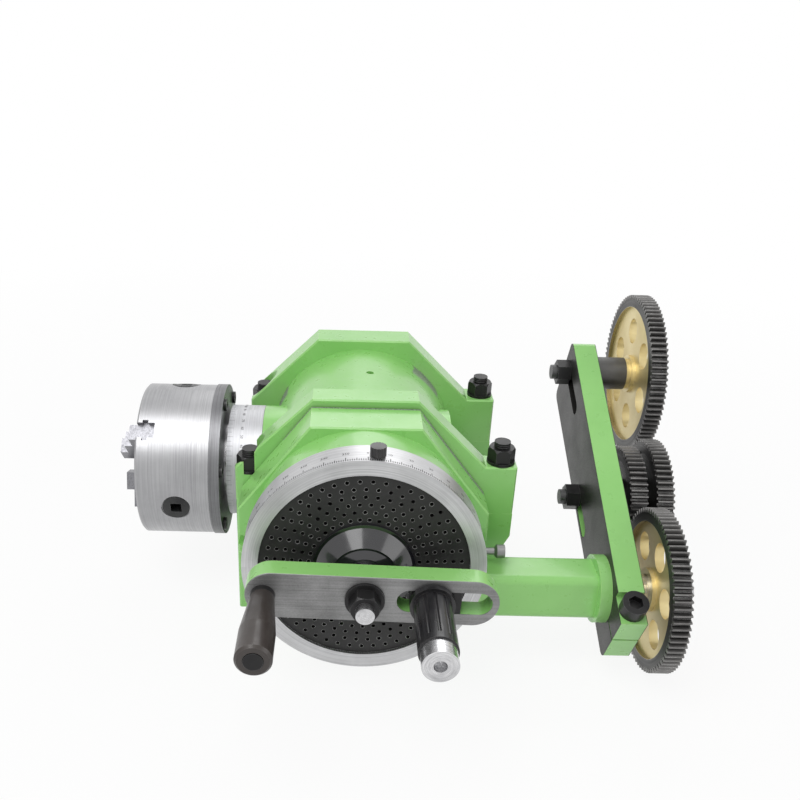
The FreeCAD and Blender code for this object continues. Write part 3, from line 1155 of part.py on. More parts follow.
def web_gear(label, teeth, start, centre, bore, phase, holed=True, back_hub=0.0):
    """Change gear with a toothed rim, a thin web, a hub and round holes in the web."""
    width = value("gear_width")
    module = value("gear_module")
    solid = gear_on("X", teeth, start, width, centre, bore, phase)
    rim = module * teeth / 2 + module - value("rim_depth")
    depth = value("web_recess")
    hub = value("gear_hub")
    for x in (start, start + width - depth):
        ring = disc_at("X", rim, x, depth, centre).cut(disc_at("X", hub, x, depth, centre))
        solid = solid.cut(ring)
    if holed:
        count = int(value("web_holes"))
        for i in range(count):
            turn = math.radians(phase) + 2 * math.pi * (i + 0.5) / count
            middle = (rim + hub) / 2
            spot = (centre[0] + middle * math.cos(turn), centre[1] + middle * math.sin(turn))
            solid = solid.cut(disc_at("X", value("web_hole"), start, width, spot))
    if back_hub:
        extra = disc_at("X", hub - 4, start - back_hub, back_hub, centre)
        solid = solid.fuse(extra.cut(disc_at("X", bore, start - back_hub, back_hub, centre)))
    return lifted(solid.removeSplitter(), label)


def aim(origin, target):
    return math.degrees(math.atan2(target[1] - origin[1], target[0] - origin[0]))


def change_gears():
    """Side-shaft gear, two middle gears on one sleeve and the top gear, in mesh at rest."""
    side = (-value("side_back"), -value("side_drop"))
    middle = banjo_point(*mid_stud_place())
    top = banjo_point(value("top_along"), value("top_across"))
    first = value("banjo_face + banjo_thick + gear_gap")
    second = first + value("gear_step")
    bore = value("gear_stud_radius + running_fit")
    count = {name: int(value(name + "_teeth")) for name in ("side", "mid_small", "mid_large", "top")}
    web_gear("side_change_gear", count["side"], first, side, value("side_radius"), aim(side, middle))
    web_gear("mid_gear_small", count["mid_small"], first, middle, bore,
             aim(middle, side) + 180 / count["mid_small"], holed=False)
    web_gear("mid_gear_large", count["mid_large"], second, middle, bore, aim(middle, top), holed=False,
             back_hub=value("gear_step - gear_width"))
    web_gear("top_change_gear", count["top"], second, top, bore, aim(top, middle) + 180 / count["top"],
             back_hub=4)


def gear_studs():
    """Two studs on the banjo, each with a flange against it and a nut behind it."""
    face = value("banjo_face + banjo_thick")
    back = value("banjo_face")
    second = face + value("gear_gap + gear_step")
    end = second + value("gear_width + clear_gap")
    nut = value("nut_height")
    studs, nuts = [], []
    for place, collar_end in ((mid_stud_place(), face + value("gear_gap - clear_gap")),
                              ((value("top_along"), value("top_across")), second - 4 - value("clear_gap"))):
        centre = banjo_point(*place)
        thread = value("stud_radius")
        steps = [disc_at("X", thread, back - nut - 6, face - back + nut + 6, centre),
                 disc_at("X", value("stud_flange"), face, value("stud_flange_thick"), centre),
                 disc_at("X", value("stud_collar"), face, collar_end - face, centre),
                 disc_at("X", value("gear_stud_radius"), face, end - face, centre),
                 disc_at("X", thread, end, nut + 5, centre)]
        studs.append(steps[0].fuse(steps[1:]).removeSplitter())
        for start in (back - nut, end):
            nuts.append(hex_nut(start, nut, centre, thread))
    lifted(Part.makeCompound(studs), "gear_studs")
    lifted(Part.makeCompound(nuts), "stud_nuts")


def hex_nut(start, height, centre, hole):
    radius = value("nut_radius")
    corners = [Vector(start, centre[0] + radius * math.cos(math.radians(60 * i + 15)),
                      centre[1] + radius * math.sin(math.radians(60 * i + 15))) for i in range(6)]
    solid = Part.Face(Part.makePolygon(corners + [corners[0]])).extrude(Vector(height, 0, 0))
    return solid.cut(disc_at("X", hole, start, height, centre))


# ---------------------------------------------------------------------- build
def build():
    base_casting()
    clamp_cap("front_clamp_cap", "near_face - near_width", "near_width", "near_width / 2 - near_face")
    clamp_cap("rear_clamp_cap", "-far_start - far_width", "far_width", "far_start + far_width / 2")
    clamp_fasteners()
    swivel_housing()
    front_cover()
    rear_cover()
    cover_screws()
    housing_bushes()
    side_shaft_arm()
    plate_lock_pin()
    spindle()
    worm_wheel()
    spindle_rings()
    chuck_backplate()
    chuck_screws()
    chuck_body()
    scroll_plate()
    for index, angle in enumerate(around_spindle(3, value("pinion_angle")), 1):
        chuck_pinion(index, angle)
    for index, angle in enumerate(around_spindle(3, value("jaw_angle")), 1):
        chuck_jaw(index, angle)
    worm_drive()
    crank_shaft()
    index_plate()
    dial_ring()
    plate_hub()
    ring_lock_screw()
    crank_arm()
    crank_fasteners()
    crank_handle()
    plunger_block()
    plunger()
    plunger_spring()
    banjo_plate()
    banjo_clamp_screw()
    side_shaft()
    change_gears()
    gear_studs()


def check_and_export():
    doc.recompute()
    for item in doc.Objects:
        if "Invalid" in item.State or "Error" in item.State:
            raise RuntimeError(f"{item.Label} did not recompute: {item.State}")
    for item in PARTS:
        if item.Shape.isNull() or not item.Shape.isValid():
            raise RuntimeError(f"{item.Label} has no valid shape")
    os.makedirs("parts", exist_ok=True)
    for item in PARTS:
        item.Shape.exportStep(f"parts/{item.Label}.step")
    print(len(PARTS), "sub-parts written")


build()
check_and_export()
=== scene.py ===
import math
import bpy
from mathutils import Matrix, Vector


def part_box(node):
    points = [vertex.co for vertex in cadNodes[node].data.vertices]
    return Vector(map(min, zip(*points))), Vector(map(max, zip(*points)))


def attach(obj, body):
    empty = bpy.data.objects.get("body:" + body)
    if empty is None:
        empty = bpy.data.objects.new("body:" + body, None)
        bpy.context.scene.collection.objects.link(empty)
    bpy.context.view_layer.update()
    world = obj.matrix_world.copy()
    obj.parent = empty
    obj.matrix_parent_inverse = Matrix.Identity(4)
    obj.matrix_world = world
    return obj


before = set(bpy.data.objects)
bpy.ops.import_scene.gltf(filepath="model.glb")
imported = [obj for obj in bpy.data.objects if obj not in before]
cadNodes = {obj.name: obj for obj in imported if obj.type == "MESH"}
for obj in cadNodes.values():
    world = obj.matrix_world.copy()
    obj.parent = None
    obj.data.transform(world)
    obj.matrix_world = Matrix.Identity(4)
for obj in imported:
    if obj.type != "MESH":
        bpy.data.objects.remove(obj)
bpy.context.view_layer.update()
print("frame loaded:", len(cadNodes), "nodes")

mm = 0.001
white = (1, 1, 1, 1)
spindleHeight = 132 * mm      # above the table; the crank axis crosses the spindle axis there


# small helpers for building materials
def newMaterial(name):
    material = bpy.data.materials.new(name)
    material.use_nodes = True
    tree = material.node_tree
    return material, tree, tree.nodes["Principled BSDF"]


def put(tree, socket, source):
    if isinstance(source, bpy.types.NodeSocket):
        tree.links.new(source, socket)
    else:
        socket.default_value = source


def calc(tree, operation, *sources, clamp=False):
    node = tree.nodes.new("ShaderNodeMath")
    node.operation = operation
    node.use_clamp = clamp
    for socket, source in zip(node.inputs, sources):
        put(tree, socket, source)
    return node.outputs[0]


def mixColour(tree, factor, first, second):
    node = tree.nodes.new("ShaderNodeMix")
    node.data_type = "RGBA"
    put(tree, node.inputs[0], factor)
    put(tree, node.inputs[6], first)
    put(tree, node.inputs[7], second)
    return node.outputs[2]


def mixValue(tree, factor, first, second):
    node = tree.nodes.new("ShaderNodeMix")
    node.data_type = "FLOAT"
    put(tree, node.inputs[0], factor)
    put(tree, node.inputs[2], first)
    put(tree, node.inputs[3], second)
    return node.outputs[0]


def remap(tree, source, low, high, newLow=0.0, newHigh=1.0):
    node = tree.nodes.new("ShaderNodeMapRange")
    for socket, number in zip(node.inputs, (source, low, high, newLow, newHigh)):
        put(tree, socket, number)
    return node.outputs[0]


def noise(tree, vector, scale, detail=3.0, roughness=0.5):
    node = tree.nodes.new("ShaderNodeTexNoise")
    put(tree, node.inputs["Vector"], vector)
    put(tree, node.inputs["Scale"], scale)
    node.inputs["Detail"].default_value = detail
    node.inputs["Roughness"].default_value = roughness
    return node.outputs["Fac"]


def splitVector(tree, vector):
    split = tree.nodes.new("ShaderNodeSeparateXYZ")
    put(tree, split.inputs[0], vector)
    return split.outputs


def radiusOf(tree, x, y):
    return calc(tree, "SQRT", calc(tree, "ADD", calc(tree, "MULTIPLY", x, x), calc(tree, "MULTIPLY", y, y)))


def objectPlace(tree, location=(0, 0, 0), rotation=(0, 0, 0)):
    coords = tree.nodes.new("ShaderNodeTexCoord")
    mapping = tree.nodes.new("ShaderNodeMapping")
    mapping.vector_type = "TEXTURE"
    mapping.inputs["Location"].default_value = location
    mapping.inputs["Rotation"].default_value = rotation
    tree.links.new(coords.outputs["Object"], mapping.inputs["Vector"])
    return mapping.outputs[0]


# effects that several materials share, each a node group
def newGroup(name, inputs, outputs):
    group = bpy.data.node_groups.new(name, "ShaderNodeTree")
    for label, kind, start in inputs:
        socket = group.interface.new_socket(label, in_out="INPUT", socket_type=kind)
        if start is not None:
            socket.default_value = start
    for label, kind in outputs:
        group.interface.new_socket(label, in_out="OUTPUT", socket_type=kind)
    return group, group.nodes.new("NodeGroupInput").outputs, group.nodes.new("NodeGroupOutput").inputs


def useGroup(tree, group, **values):
    node = tree.nodes.new("ShaderNodeGroup")
    node.node_tree = group
    for label, source in values.items():
        put(tree, node.inputs[label], source)
    return node.outputs


edgeMaskPattern = {
    "samples": 4, "flat": 0.02, "gain": 9.0, "patches": (0.35, 0.62), "detail": 4.0, "roughness": 0.6,
}


# a patchy edge mask: worn edges on most pieces, and the painted highlight on the index plate's hole rims
def buildEdgeWear():
    group, given, out = newGroup("edgeWearAndHighlight", [
        ("Vector", "NodeSocketVector", None), ("Radius", "NodeSocketFloat", 0.0015),
        ("Amount", "NodeSocketFloat", 1.0), ("Breakup", "NodeSocketFloat", 90.0)],
        [("Mask", "NodeSocketFloat")])
    bevel = group.nodes.new("ShaderNodeBevel")
    bevel.samples = edgeMaskPattern["samples"]
    put(group, bevel.inputs["Radius"], given["Radius"])
    geometry = group.nodes.new("ShaderNodeNewGeometry")
    dot = group.nodes.new("ShaderNodeVectorMath")
    dot.operation = "DOT_PRODUCT"
    put(group, dot.inputs[0], bevel.outputs[0])
    put(group, dot.inputs[1], geometry.outputs["Normal"])
    turned = calc(group, "SUBTRACT", 1.0, dot.outputs["Value"])
    raw = calc(group, "MULTIPLY", calc(group, "SUBTRACT", turned, edgeMaskPattern["flat"]),
               edgeMaskPattern["gain"], clamp=True)
    breakup = noise(group, given["Vector"], given["Breakup"], edgeMaskPattern["detail"], edgeMaskPattern["roughness"])
    patches = remap(group, breakup, *edgeMaskPattern["patches"])
    edgeMask = calc(group, "MULTIPLY", calc(group, "MULTIPLY", raw, patches), given["Amount"], clamp=True)
    put(group, out["Mask"], edgeMask)
    return group


castPattern = {"peelScale": 420.0, "sandScale": 95.0, "peelShare": 0.35, "contrast": (0.3, 0.7)}


def buildCastFinish():
    group, given, out = newGroup("castFinish", [
        ("Vector", "NodeSocketVector", None), ("First", "NodeSocketColor", None),
        ("Second", "NodeSocketColor", None), ("Patch Scale", "NodeSocketFloat", 14.0),
        ("Low Roughness", "NodeSocketFloat", 0.25), ("High Roughness", "NodeSocketFloat", 0.4)],
        [("Colour", "NodeSocketColor"), ("Roughness", "NodeSocketFloat"), ("Height", "NodeSocketFloat")])
    clouds = noise(group, given["Vector"], given["Patch Scale"], 4.0, 0.55)
    peel = noise(group, given["Vector"], castPattern["peelScale"], 2.0, 0.5)
    sand = noise(group, given["Vector"], castPattern["sandScale"], 3.0, 0.6)
    cloudy = remap(group, clouds, *castPattern["contrast"])
    sandy = remap(group, sand, *castPattern["contrast"])
    put(group, out["Colour"], mixColour(group, cloudy, given["First"], given["Second"]))
    put(group, out["Roughness"], mixValue(group, sandy, given["Low Roughness"], given["High Roughness"]))
    lightPeel = calc(group, "MULTIPLY", peel, castPattern["peelShare"])
    put(group, out["Height"], calc(group, "ADD", lightPeel, sand))
    return group


turnedPattern = {
    "sweep": 0.8, "stainScale": 22.0, "lineShare": 0.6, "stainShare": 0.4,
    "contrast": (0.34, 0.66), "roughContrast": (0.3, 0.7),
}


def buildTurnedGrain():
    group, given, out = newGroup("turnedGrain", [
        ("Vector", "NodeSocketVector", None), ("Fineness", "NodeSocketFloat", 900.0),
        ("Dark", "NodeSocketColor", None), ("Bright", "NodeSocketColor", None),
        ("Low Roughness", "NodeSocketFloat", 0.2), ("High Roughness", "NodeSocketFloat", 0.35)],
        [("Colour", "NodeSocketColor"), ("Roughness", "NodeSocketFloat"), ("Height", "NodeSocketFloat")])
    x, y, z = splitVector(group, given["Vector"])
    radius = radiusOf(group, x, y)
    joined = group.nodes.new("ShaderNodeCombineXYZ")
    put(group, joined.inputs[0], calc(group, "MULTIPLY", radius, given["Fineness"]))
    put(group, joined.inputs[1], calc(group, "MULTIPLY", z, given["Fineness"]))
    around = calc(group, "ARCTAN2", y, x)
    put(group, joined.inputs[2], calc(group, "MULTIPLY", around, turnedPattern["sweep"]))
    lines = noise(group, joined.outputs[0], 1.0, 3.0, 0.65)
    stains = noise(group, given["Vector"], turnedPattern["stainScale"], 5.0, 0.6)
    shade = calc(group, "ADD", calc(group, "MULTIPLY", lines, turnedPattern["lineShare"]),
                 calc(group, "MULTIPLY", stains, turnedPattern["stainShare"]))
    bright = remap(group, shade, *turnedPattern["contrast"])
    smooth = remap(group, shade, *turnedPattern["roughContrast"])
    put(group, out["Colour"], mixColour(group, bright, given["Dark"], given["Bright"]))
    put(group, out["Roughness"], mixValue(group, smooth, given["High Roughness"], given["Low Roughness"]))
    put(group, out["Height"], lines)
    return group


milledPattern = {
    "stretch": (12.0, 900.0, 900.0), "speckScale": 700.0, "stainScale": 30.0, "strokeShare": 0.5,
    "stainShare": 0.5, "contrast": (0.36, 0.64), "rough": 0.52, "smooth": 0.3,
}


def buildMilledGrain():
    group, given, out = newGroup("milledGrain", [
        ("Vector", "NodeSocketVector", None), ("Dark", "NodeSocketColor", None),
        ("Bright", "NodeSocketColor", None), ("Speckle", "NodeSocketFloat", 0.3)],
        [("Colour", "NodeSocketColor"), ("Roughness", "NodeSocketFloat"), ("Height", "NodeSocketFloat")])
    stretched = group.nodes.new("ShaderNodeMapping")
    stretched.inputs["Scale"].default_value = milledPattern["stretch"]
    put(group, stretched.inputs["Vector"], given["Vector"])
    strokes = noise(group, stretched.outputs[0], 1.0, 4.0, 0.65)
    specks = noise(group, given["Vector"], milledPattern["speckScale"], 2.0, 0.7)
    stains = noise(group, given["Vector"], milledPattern["stainScale"], 5.0, 0.6)
    base = calc(group, "ADD", calc(group, "MULTIPLY", strokes, milledPattern["strokeShare"]),
                calc(group, "MULTIPLY", stains, milledPattern["stainShare"]))
    spotted = mixValue(group, given["Speckle"], base, specks)
    bright = remap(group, spotted, *milledPattern["contrast"])
    put(group, out["Colour"], mixColour(group, bright, given["Dark"], given["Bright"]))
    put(group, out["Roughness"],
        remap(group, spotted, 0.3, 0.7, milledPattern["rough"], milledPattern["smooth"]))
    put(group, out["Height"], spotted)
    return group


def buildScaleMarks():
    group, given, out = newGroup("scaleMarks", [
        ("Vector", "NodeSocketVector", None), ("Count", "NodeSocketFloat", 360.0),
        ("Edge", "NodeSocketFloat", 0.0), ("Short", "NodeSocketFloat", 0.003),
        ("Medium", "NodeSocketFloat", 0.0045), ("Long", "NodeSocketFloat", 0.006),
        ("Width", "NodeSocketFloat", 0.16)],
        [("Mask", "NodeSocketFloat")])
    x, y, z = splitVector(group, given["Vector"])
    turns = calc(group, "DIVIDE", calc(group, "ARCTAN2", y, x), 2 * math.pi)
    up = calc(group, "SUBTRACT", z, given["Edge"])
    started = calc(group, "GREATER_THAN", up, 0.0)
    masks = []
    for every, length in ((1.0, "Short"), (5.0, "Medium"), (10.0, "Long")):
        count = calc(group, "DIVIDE", given["Count"], every)
        place = calc(group, "MULTIPLY", turns, count)
        away = calc(group, "ABSOLUTE", calc(group, "SUBTRACT", place, calc(group, "ROUND", place)))
        width = calc(group, "DIVIDE", given["Width"], every)
        line = calc(group, "LESS_THAN", away, width)
        masks.append(calc(group, "MULTIPLY", line, calc(group, "LESS_THAN", up, given[length])))
    most = calc(group, "MAXIMUM", calc(group, "MAXIMUM", masks[0], masks[1]), masks[2])
    put(group, out["Mask"], calc(group, "MULTIPLY", most, started))
    return group


def buildThreadLines():
    group, given, out = newGroup("threadLines", [
        ("Vector", "NodeSocketVector", None), ("Pitch", "NodeSocketFloat", 0.002)],
        [("Height", "NodeSocketFloat")])
    x, y, z = splitVector(group, given["Vector"])
    turn = calc(group, "DIVIDE", calc(group, "ARCTAN2", y, x), 2 * math.pi)
    along = calc(group, "ADD", calc(group, "DIVIDE", z, given["Pitch"]), turn)
    saw = calc(group, "FRACT", along)
    put(group, out["Height"], calc(group, "ABSOLUTE", calc(group, "SUBTRACT", saw, 0.5)))
    return group


edgeWearAndHighlight = buildEdgeWear()
castFinish = buildCastFinish()
turnedGrain = buildTurnedGrain()
milledGrain = buildMilledGrain()
scaleMarks = buildScaleMarks()
threadLines = buildThreadLines()
print("shared effects ready")


def addBump(tree, shader, height, strength, distance):
    bump = tree.nodes.new("ShaderNodeBump")
    bump.inputs["Strength"].default_value = strength
    bump.inputs["Distance"].default_value = distance
    put(tree, bump.inputs["Height"], height)
    put(tree, shader.inputs["Normal"], bump.outputs[0])


# turns a pattern about an axis: local z lies along X or Y of the frame
alongX = (0.0, math.radians(90), 0.0)
alongY = (math.radians(-90), 0.0, 0.0)
alongZ = (0.0, 0.0, 0.0)
spindleAxis = crankAxis = (0.0, 0.0, spindleHeight)


# the green enamel of the castings
paint = {
    "light": (0.315, 0.665, 0.20, 1), "deep": (0.26, 0.60, 0.16, 1),
    "thin": (0.52, 0.76, 0.30, 1), "primer": (0.16, 0.16, 0.15, 1),
    "coat": 0.35, "coatRoughness": 0.12, "edgeRadius": 1.2 * mm, "wearAmount": 0.75,
    "chipScale": 160.0, "chipEdge": (0.66, 0.70), "bareMetal": 0.6, "bumpStrength": 0.25, "bumpDepth": 0.2 * mm,
    "bareDark": (0.12, 0.12, 0.13, 1), "bareBright": (0.58, 0.57, 0.58, 1),
}


def greenPaint(name, bareMask=None, dark=paint["bareDark"], bright=paint["bareBright"], speckle=0.75):
    material, tree, shader = newMaterial(name)
    place = objectPlace(tree)
    finish = useGroup(tree, castFinish, Vector=place, First=paint["light"], Second=paint["deep"])
    edgeAmount = useGroup(tree, edgeWearAndHighlight, Vector=place, Radius=paint["edgeRadius"],
                    Amount=paint["wearAmount"])["Mask"]
    colour = mixColour(tree, edgeAmount, finish["Colour"], paint["thin"])
    chips = remap(tree, noise(tree, place, paint["chipScale"], 5.0, 0.7), *paint["chipEdge"])
    chipped = calc(tree, "MULTIPLY", chips, edgeAmount)
    colour = mixColour(tree, chipped, colour, paint["primer"])
    roughness, metal = finish["Roughness"], 0.0
    coat = paint["coat"]
    if bareMask:
        bare = bareMask(tree)
        steel = useGroup(tree, milledGrain, Vector=place, Dark=dark, Bright=bright, Speckle=speckle)
        colour = mixColour(tree, bare, colour, steel["Colour"])
        roughness = mixValue(tree, bare, roughness, steel["Roughness"])
        metal = calc(tree, "MULTIPLY", bare, paint["bareMetal"])
        coat = mixValue(tree, bare, paint["coat"], 0.0)
    put(tree, shader.inputs["Base Color"], colour)
    put(tree, shader.inputs["Roughness"], roughness)
    put(tree, shader.inputs["Metallic"], metal)
    put(tree, shader.inputs["Coat Weight"], coat)
    shader.inputs["Coat Roughness"].default_value = paint["coatRoughness"]
    addBump(tree, shader, finish["Height"], paint["bumpStrength"], paint["bumpDepth"])
    return material


# dark, oily or oxidised steel
darkMetal = {
    "fineness": 1100.0, "edgeRadius": 0.7 * mm, "groupRoughness": (0.2, 0.4), "bumpStrength": 0.3,
    "bumpDepth": 0.15 * mm, "threadStrength": 0.9, "threadDepth": 0.6, "threadGrain": 0.1,
}


def darkSteel(name, dark, bright, metallic=0.75, roughness=(0.32, 0.5), place=(0, 0, 0), pitch=None,
              axis=alongZ, grain=False, edgeAmount=0.8, edge=(0.3, 0.3, 0.31, 1)):
    material, tree, shader = newMaterial(name)
    coords = objectPlace(tree, place, axis)
    if grain:
        finish = useGroup(tree, turnedGrain, Vector=coords, Dark=dark, Bright=bright,
                          Fineness=darkMetal["fineness"])
    else:
        finish = useGroup(tree, castFinish, Vector=coords, First=dark, Second=bright)
    edgeMask = useGroup(tree, edgeWearAndHighlight, Vector=coords, Radius=darkMetal["edgeRadius"], Amount=edgeAmount)["Mask"]
    put(tree, shader.inputs["Base Color"], mixColour(tree, edgeMask, finish["Colour"], edge))
    put(tree, shader.inputs["Roughness"],
        remap(tree, finish["Roughness"], *darkMetal["groupRoughness"], *roughness))
    shader.inputs["Metallic"].default_value = metallic
    if pitch:
        lines = useGroup(tree, threadLines, Vector=coords, Pitch=pitch)["Height"]
        grainHeight = calc(tree, "MULTIPLY", finish["Height"], darkMetal["threadGrain"])
        height = calc(tree, "ADD", grainHeight, lines)
        addBump(tree, shader, height, darkMetal["threadStrength"], pitch * darkMetal["threadDepth"])
    else:
        addBump(tree, shader, finish["Height"], darkMetal["bumpStrength"], darkMetal["bumpDepth"])
    return material


# bright turned or ground steel
brightMetal = {
    "edge": (0.9, 0.9, 0.9, 1), "ink": (0.02, 0.02, 0.022, 1), "edgeRadius": 0.5 * mm, "wearAmount": 0.35,
    "groupRoughness": (0.2, 0.35), "bumpStrength": 0.15, "bumpDepth": 0.1 * mm,
}


def brightSteel(name, place, axis, dark=(0.40, 0.40, 0.41, 1), bright=(0.76, 0.76, 0.77, 1), fineness=900.0,
                roughness=(0.18, 0.34), marks=None, metallic=1.0):
    material, tree, shader = newMaterial(name)
    coords = objectPlace(tree, place, axis)
    finish = useGroup(tree, turnedGrain, Vector=coords, Dark=dark, Bright=bright, Fineness=fineness)
    edgeMask = useGroup(tree, edgeWearAndHighlight, Vector=coords, Radius=brightMetal["edgeRadius"],
                    Amount=brightMetal["wearAmount"])["Mask"]
    colour = mixColour(tree, edgeMask, finish["Colour"], brightMetal["edge"])
    metal = metallic
    if marks:
        ticks = useGroup(tree, scaleMarks, Vector=coords, **marks)["Mask"]
        colour = mixColour(tree, ticks, colour, brightMetal["ink"])
        metal = calc(tree, "SUBTRACT", metallic, calc(tree, "MULTIPLY", ticks, metallic))
    put(tree, shader.inputs["Base Color"], colour)
    put(tree, shader.inputs["Roughness"],
        remap(tree, finish["Roughness"], *brightMetal["groupRoughness"], *roughness))
    put(tree, shader.inputs["Metallic"], metal)
    addBump(tree, shader, finish["Height"], brightMetal["bumpStrength"], brightMetal["bumpDepth"])
    return material


# masks for the land, faces and patches that are bare on the painted castings
def between(tree, value, low, high, soft=0.0004):
    rise = remap(tree, value, low - soft, low + soft)
    fall = remap(tree, value, high - soft, high + soft, 1.0, 0.0)
    return calc(tree, "MULTIPLY", rise, fall)


def splitPlace(tree, location=(0, 0, 0), rotation=(0, 0, 0)):
    return splitVector(tree, objectPlace(tree, location, rotation))


# the tilt scale's ground land behind the cover, on its right-hand slope and along its top
coverLand = {
    "front": -98.5 * mm, "back": -89 * mm, "slopeFrom": 54 * mm, "slopeSoft": 0.6 * mm,
    "topFront": -92.5 * mm, "sideAbove": 146 * mm, "topAbove": 200 * mm, "soft": 1 * mm,
}


def coverBareMask(tree):
    x, y, z = splitPlace(tree)
    land = between(tree, y, coverLand["front"], coverLand["back"])
    slope = remap(tree, x, coverLand["slopeFrom"], coverLand["slopeFrom"] + coverLand["slopeSoft"])
    upper = remap(tree, z, coverLand["sideAbove"], coverLand["sideAbove"] + coverLand["soft"])
    side = calc(tree, "MULTIPLY", calc(tree, "MULTIPLY", land, slope), upper)
    ridge = between(tree, y, coverLand["topFront"], coverLand["back"])
    high = remap(tree, z, coverLand["topAbove"], coverLand["topAbove"] + coverLand["soft"])
    top = calc(tree, "MULTIPLY", ridge, high)
    return calc(tree, "MAXIMUM", side, top)


# the drum is ground bare where the clamp caps grip it, and a little beyond
drumLand = {
    "right": (0.60, 1.02), "left": (-1.25, -1.0), "rightSoft": 0.01, "leftSoft": 0.02,
    "edge": 55 * mm, "edgeSoft": 4 * mm, "raggedScale": 60.0, "ragged": 0.12,
}


def drumBareMask(tree):
    x, y, z = splitPlace(tree, spindleAxis)
    angle = calc(tree, "ARCTAN2", x, z)
    clouds = noise(tree, objectPlace(tree), drumLand["raggedScale"])
    ragged = calc(tree, "MULTIPLY", calc(tree, "SUBTRACT", clouds, 0.5), drumLand["ragged"])
    angle = calc(tree, "ADD", angle, ragged)
    right = between(tree, angle, *drumLand["right"], drumLand["rightSoft"])
    back = remap(tree, y, drumLand["edge"] - drumLand["edgeSoft"], drumLand["edge"] + drumLand["edgeSoft"])
    left = between(tree, angle, *drumLand["left"], drumLand["leftSoft"])
    rightPatch = calc(tree, "MULTIPLY", right, back)
    leftPatch = calc(tree, "MULTIPLY", left, back)
    return calc(tree, "MAXIMUM", rightPatch, leftPatch)


armFace = {"front": -252.6 * mm, "back": -252.2 * mm}


def armFaceMask(tree):
    y = splitPlace(tree)[1]
    return remap(tree, y, armFace["front"], armFace["back"], 1.0, 0.0)


# both faces of the banjo and the walls of its slots are left unpainted
banjoBare = {
    "centre": (0.0, -156.2 * mm, 81.3 * mm), "angle": math.radians(26), "half": 37 * mm,
    "start": 30 * mm, "end": 284 * mm, "leftFace": (233.3 * mm, 233.7 * mm),
    "rightFace": (257.3 * mm, 257.7 * mm),
}


def banjoFaceMask(tree):
    x, y, z = splitPlace(tree)
    left = remap(tree, x, *banjoBare["leftFace"], 1.0, 0.0)
    right = remap(tree, x, *banjoBare["rightFace"])
    along, across = splitPlace(tree, banjoBare["centre"], (banjoBare["angle"], 0, 0))[1:]
    inside = calc(tree, "LESS_THAN", calc(tree, "ABSOLUTE", across), banjoBare["half"])
    within = between(tree, along, banjoBare["start"], banjoBare["end"])
    faces = calc(tree, "MAXIMUM", left, right)
    return calc(tree, "MAXIMUM", faces, calc(tree, "MULTIPLY", inside, within))


nutBlack = {
    "dark": (0.012, 0.012, 0.013, 1), "bright": (0.035, 0.034, 0.034, 1), "metallic": 0.55,
    "roughness": (0.25, 0.45), "edgeAmount": 0.9, "edge": (0.16, 0.16, 0.165, 1),
}


def nutFinish(name, place=(0, 0, 0), axis=alongZ, pitch=None):
    return darkSteel(name, place=place, pitch=pitch, axis=axis, **nutBlack)


# change gears: cream passivated web, dark rim with bright tooth flanks
gearFinish = {
    "webDark": (0.60, 0.47, 0.19, 1), "webBright": (0.86, 0.74, 0.42, 1), "rimDark": (0.03, 0.03, 0.03, 1),
    "rimBright": (0.10, 0.098, 0.095, 1), "flank": (0.42, 0.41, 0.40, 1), "edge": (0.62, 0.61, 0.60, 1),
    "tipAdd": 2, "rootDrop": 2.5, "rimDepth": 13 * mm, "rimSoft": 0.4 * mm, "flankDepth": 1.5 * mm,
    "flankShare": 0.3, "bevel": 0.6 * mm, "edgeAmount": 0.9, "fineness": 1000.0, "roughness": (0.3, 0.48),
    "webMetal": 0.7, "rimMetal": 0.9, "bumpStrength": 0.25, "bumpDepth": 0.1 * mm,
}


def gearSteel(name, centre, teeth, gilded=True):
    material, tree, shader = newMaterial(name)
    coords = objectPlace(tree, centre, alongX)
    x, y, z = splitVector(tree, coords)
    radius = radiusOf(tree, x, y)
    rim = (teeth + gearFinish["tipAdd"]) * mm - gearFinish["rimDepth"]    # module 2: a tooth is 1 mm of radius
    root = (teeth - gearFinish["rootDrop"]) * mm
    rimFinish = useGroup(tree, turnedGrain, Vector=coords, Dark=gearFinish["rimDark"],
                         Bright=gearFinish["rimBright"], Fineness=gearFinish["fineness"])
    webFinish = useGroup(tree, castFinish, Vector=coords, First=gearFinish["webDark"],
                         Second=gearFinish["webBright"])
    outside = remap(tree, radius, rim - gearFinish["rimSoft"], rim + gearFinish["rimSoft"])
    webColour = webFinish["Colour"] if gilded else rimFinish["Colour"]
    colour = mixColour(tree, outside, webColour, rimFinish["Colour"])
    flank = remap(tree, radius, root, root + gearFinish["flankDepth"])
    flankShare = calc(tree, "MULTIPLY", flank, gearFinish["flankShare"])
    colour = mixColour(tree, flankShare, colour, gearFinish["flank"])
    edgeMask = useGroup(tree, edgeWearAndHighlight, Vector=coords, Radius=gearFinish["bevel"],
                    Amount=gearFinish["edgeAmount"])["Mask"]
    colour = mixColour(tree, edgeMask, colour, gearFinish["edge"])
    put(tree, shader.inputs["Base Color"], colour)
    put(tree, shader.inputs["Roughness"],
        remap(tree, rimFinish["Roughness"], *brightMetal["groupRoughness"], *gearFinish["roughness"]))
    put(tree, shader.inputs["Metallic"],
        remap(tree, outside, 0.0, 1.0, gearFinish["webMetal"], gearFinish["rimMetal"]))
    height = calc(tree, "ADD", rimFinish["Height"], webFinish["Height"])
    addBump(tree, shader, height, gearFinish["bumpStrength"], gearFinish["bumpDepth"])
    return material


def dress(node, material):
    cadNodes[node].data.materials.clear()
    cadNodes[node].data.materials.append(material)


def centreOf(node):
    low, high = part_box(node)
    return tuple((low + high) / 2)


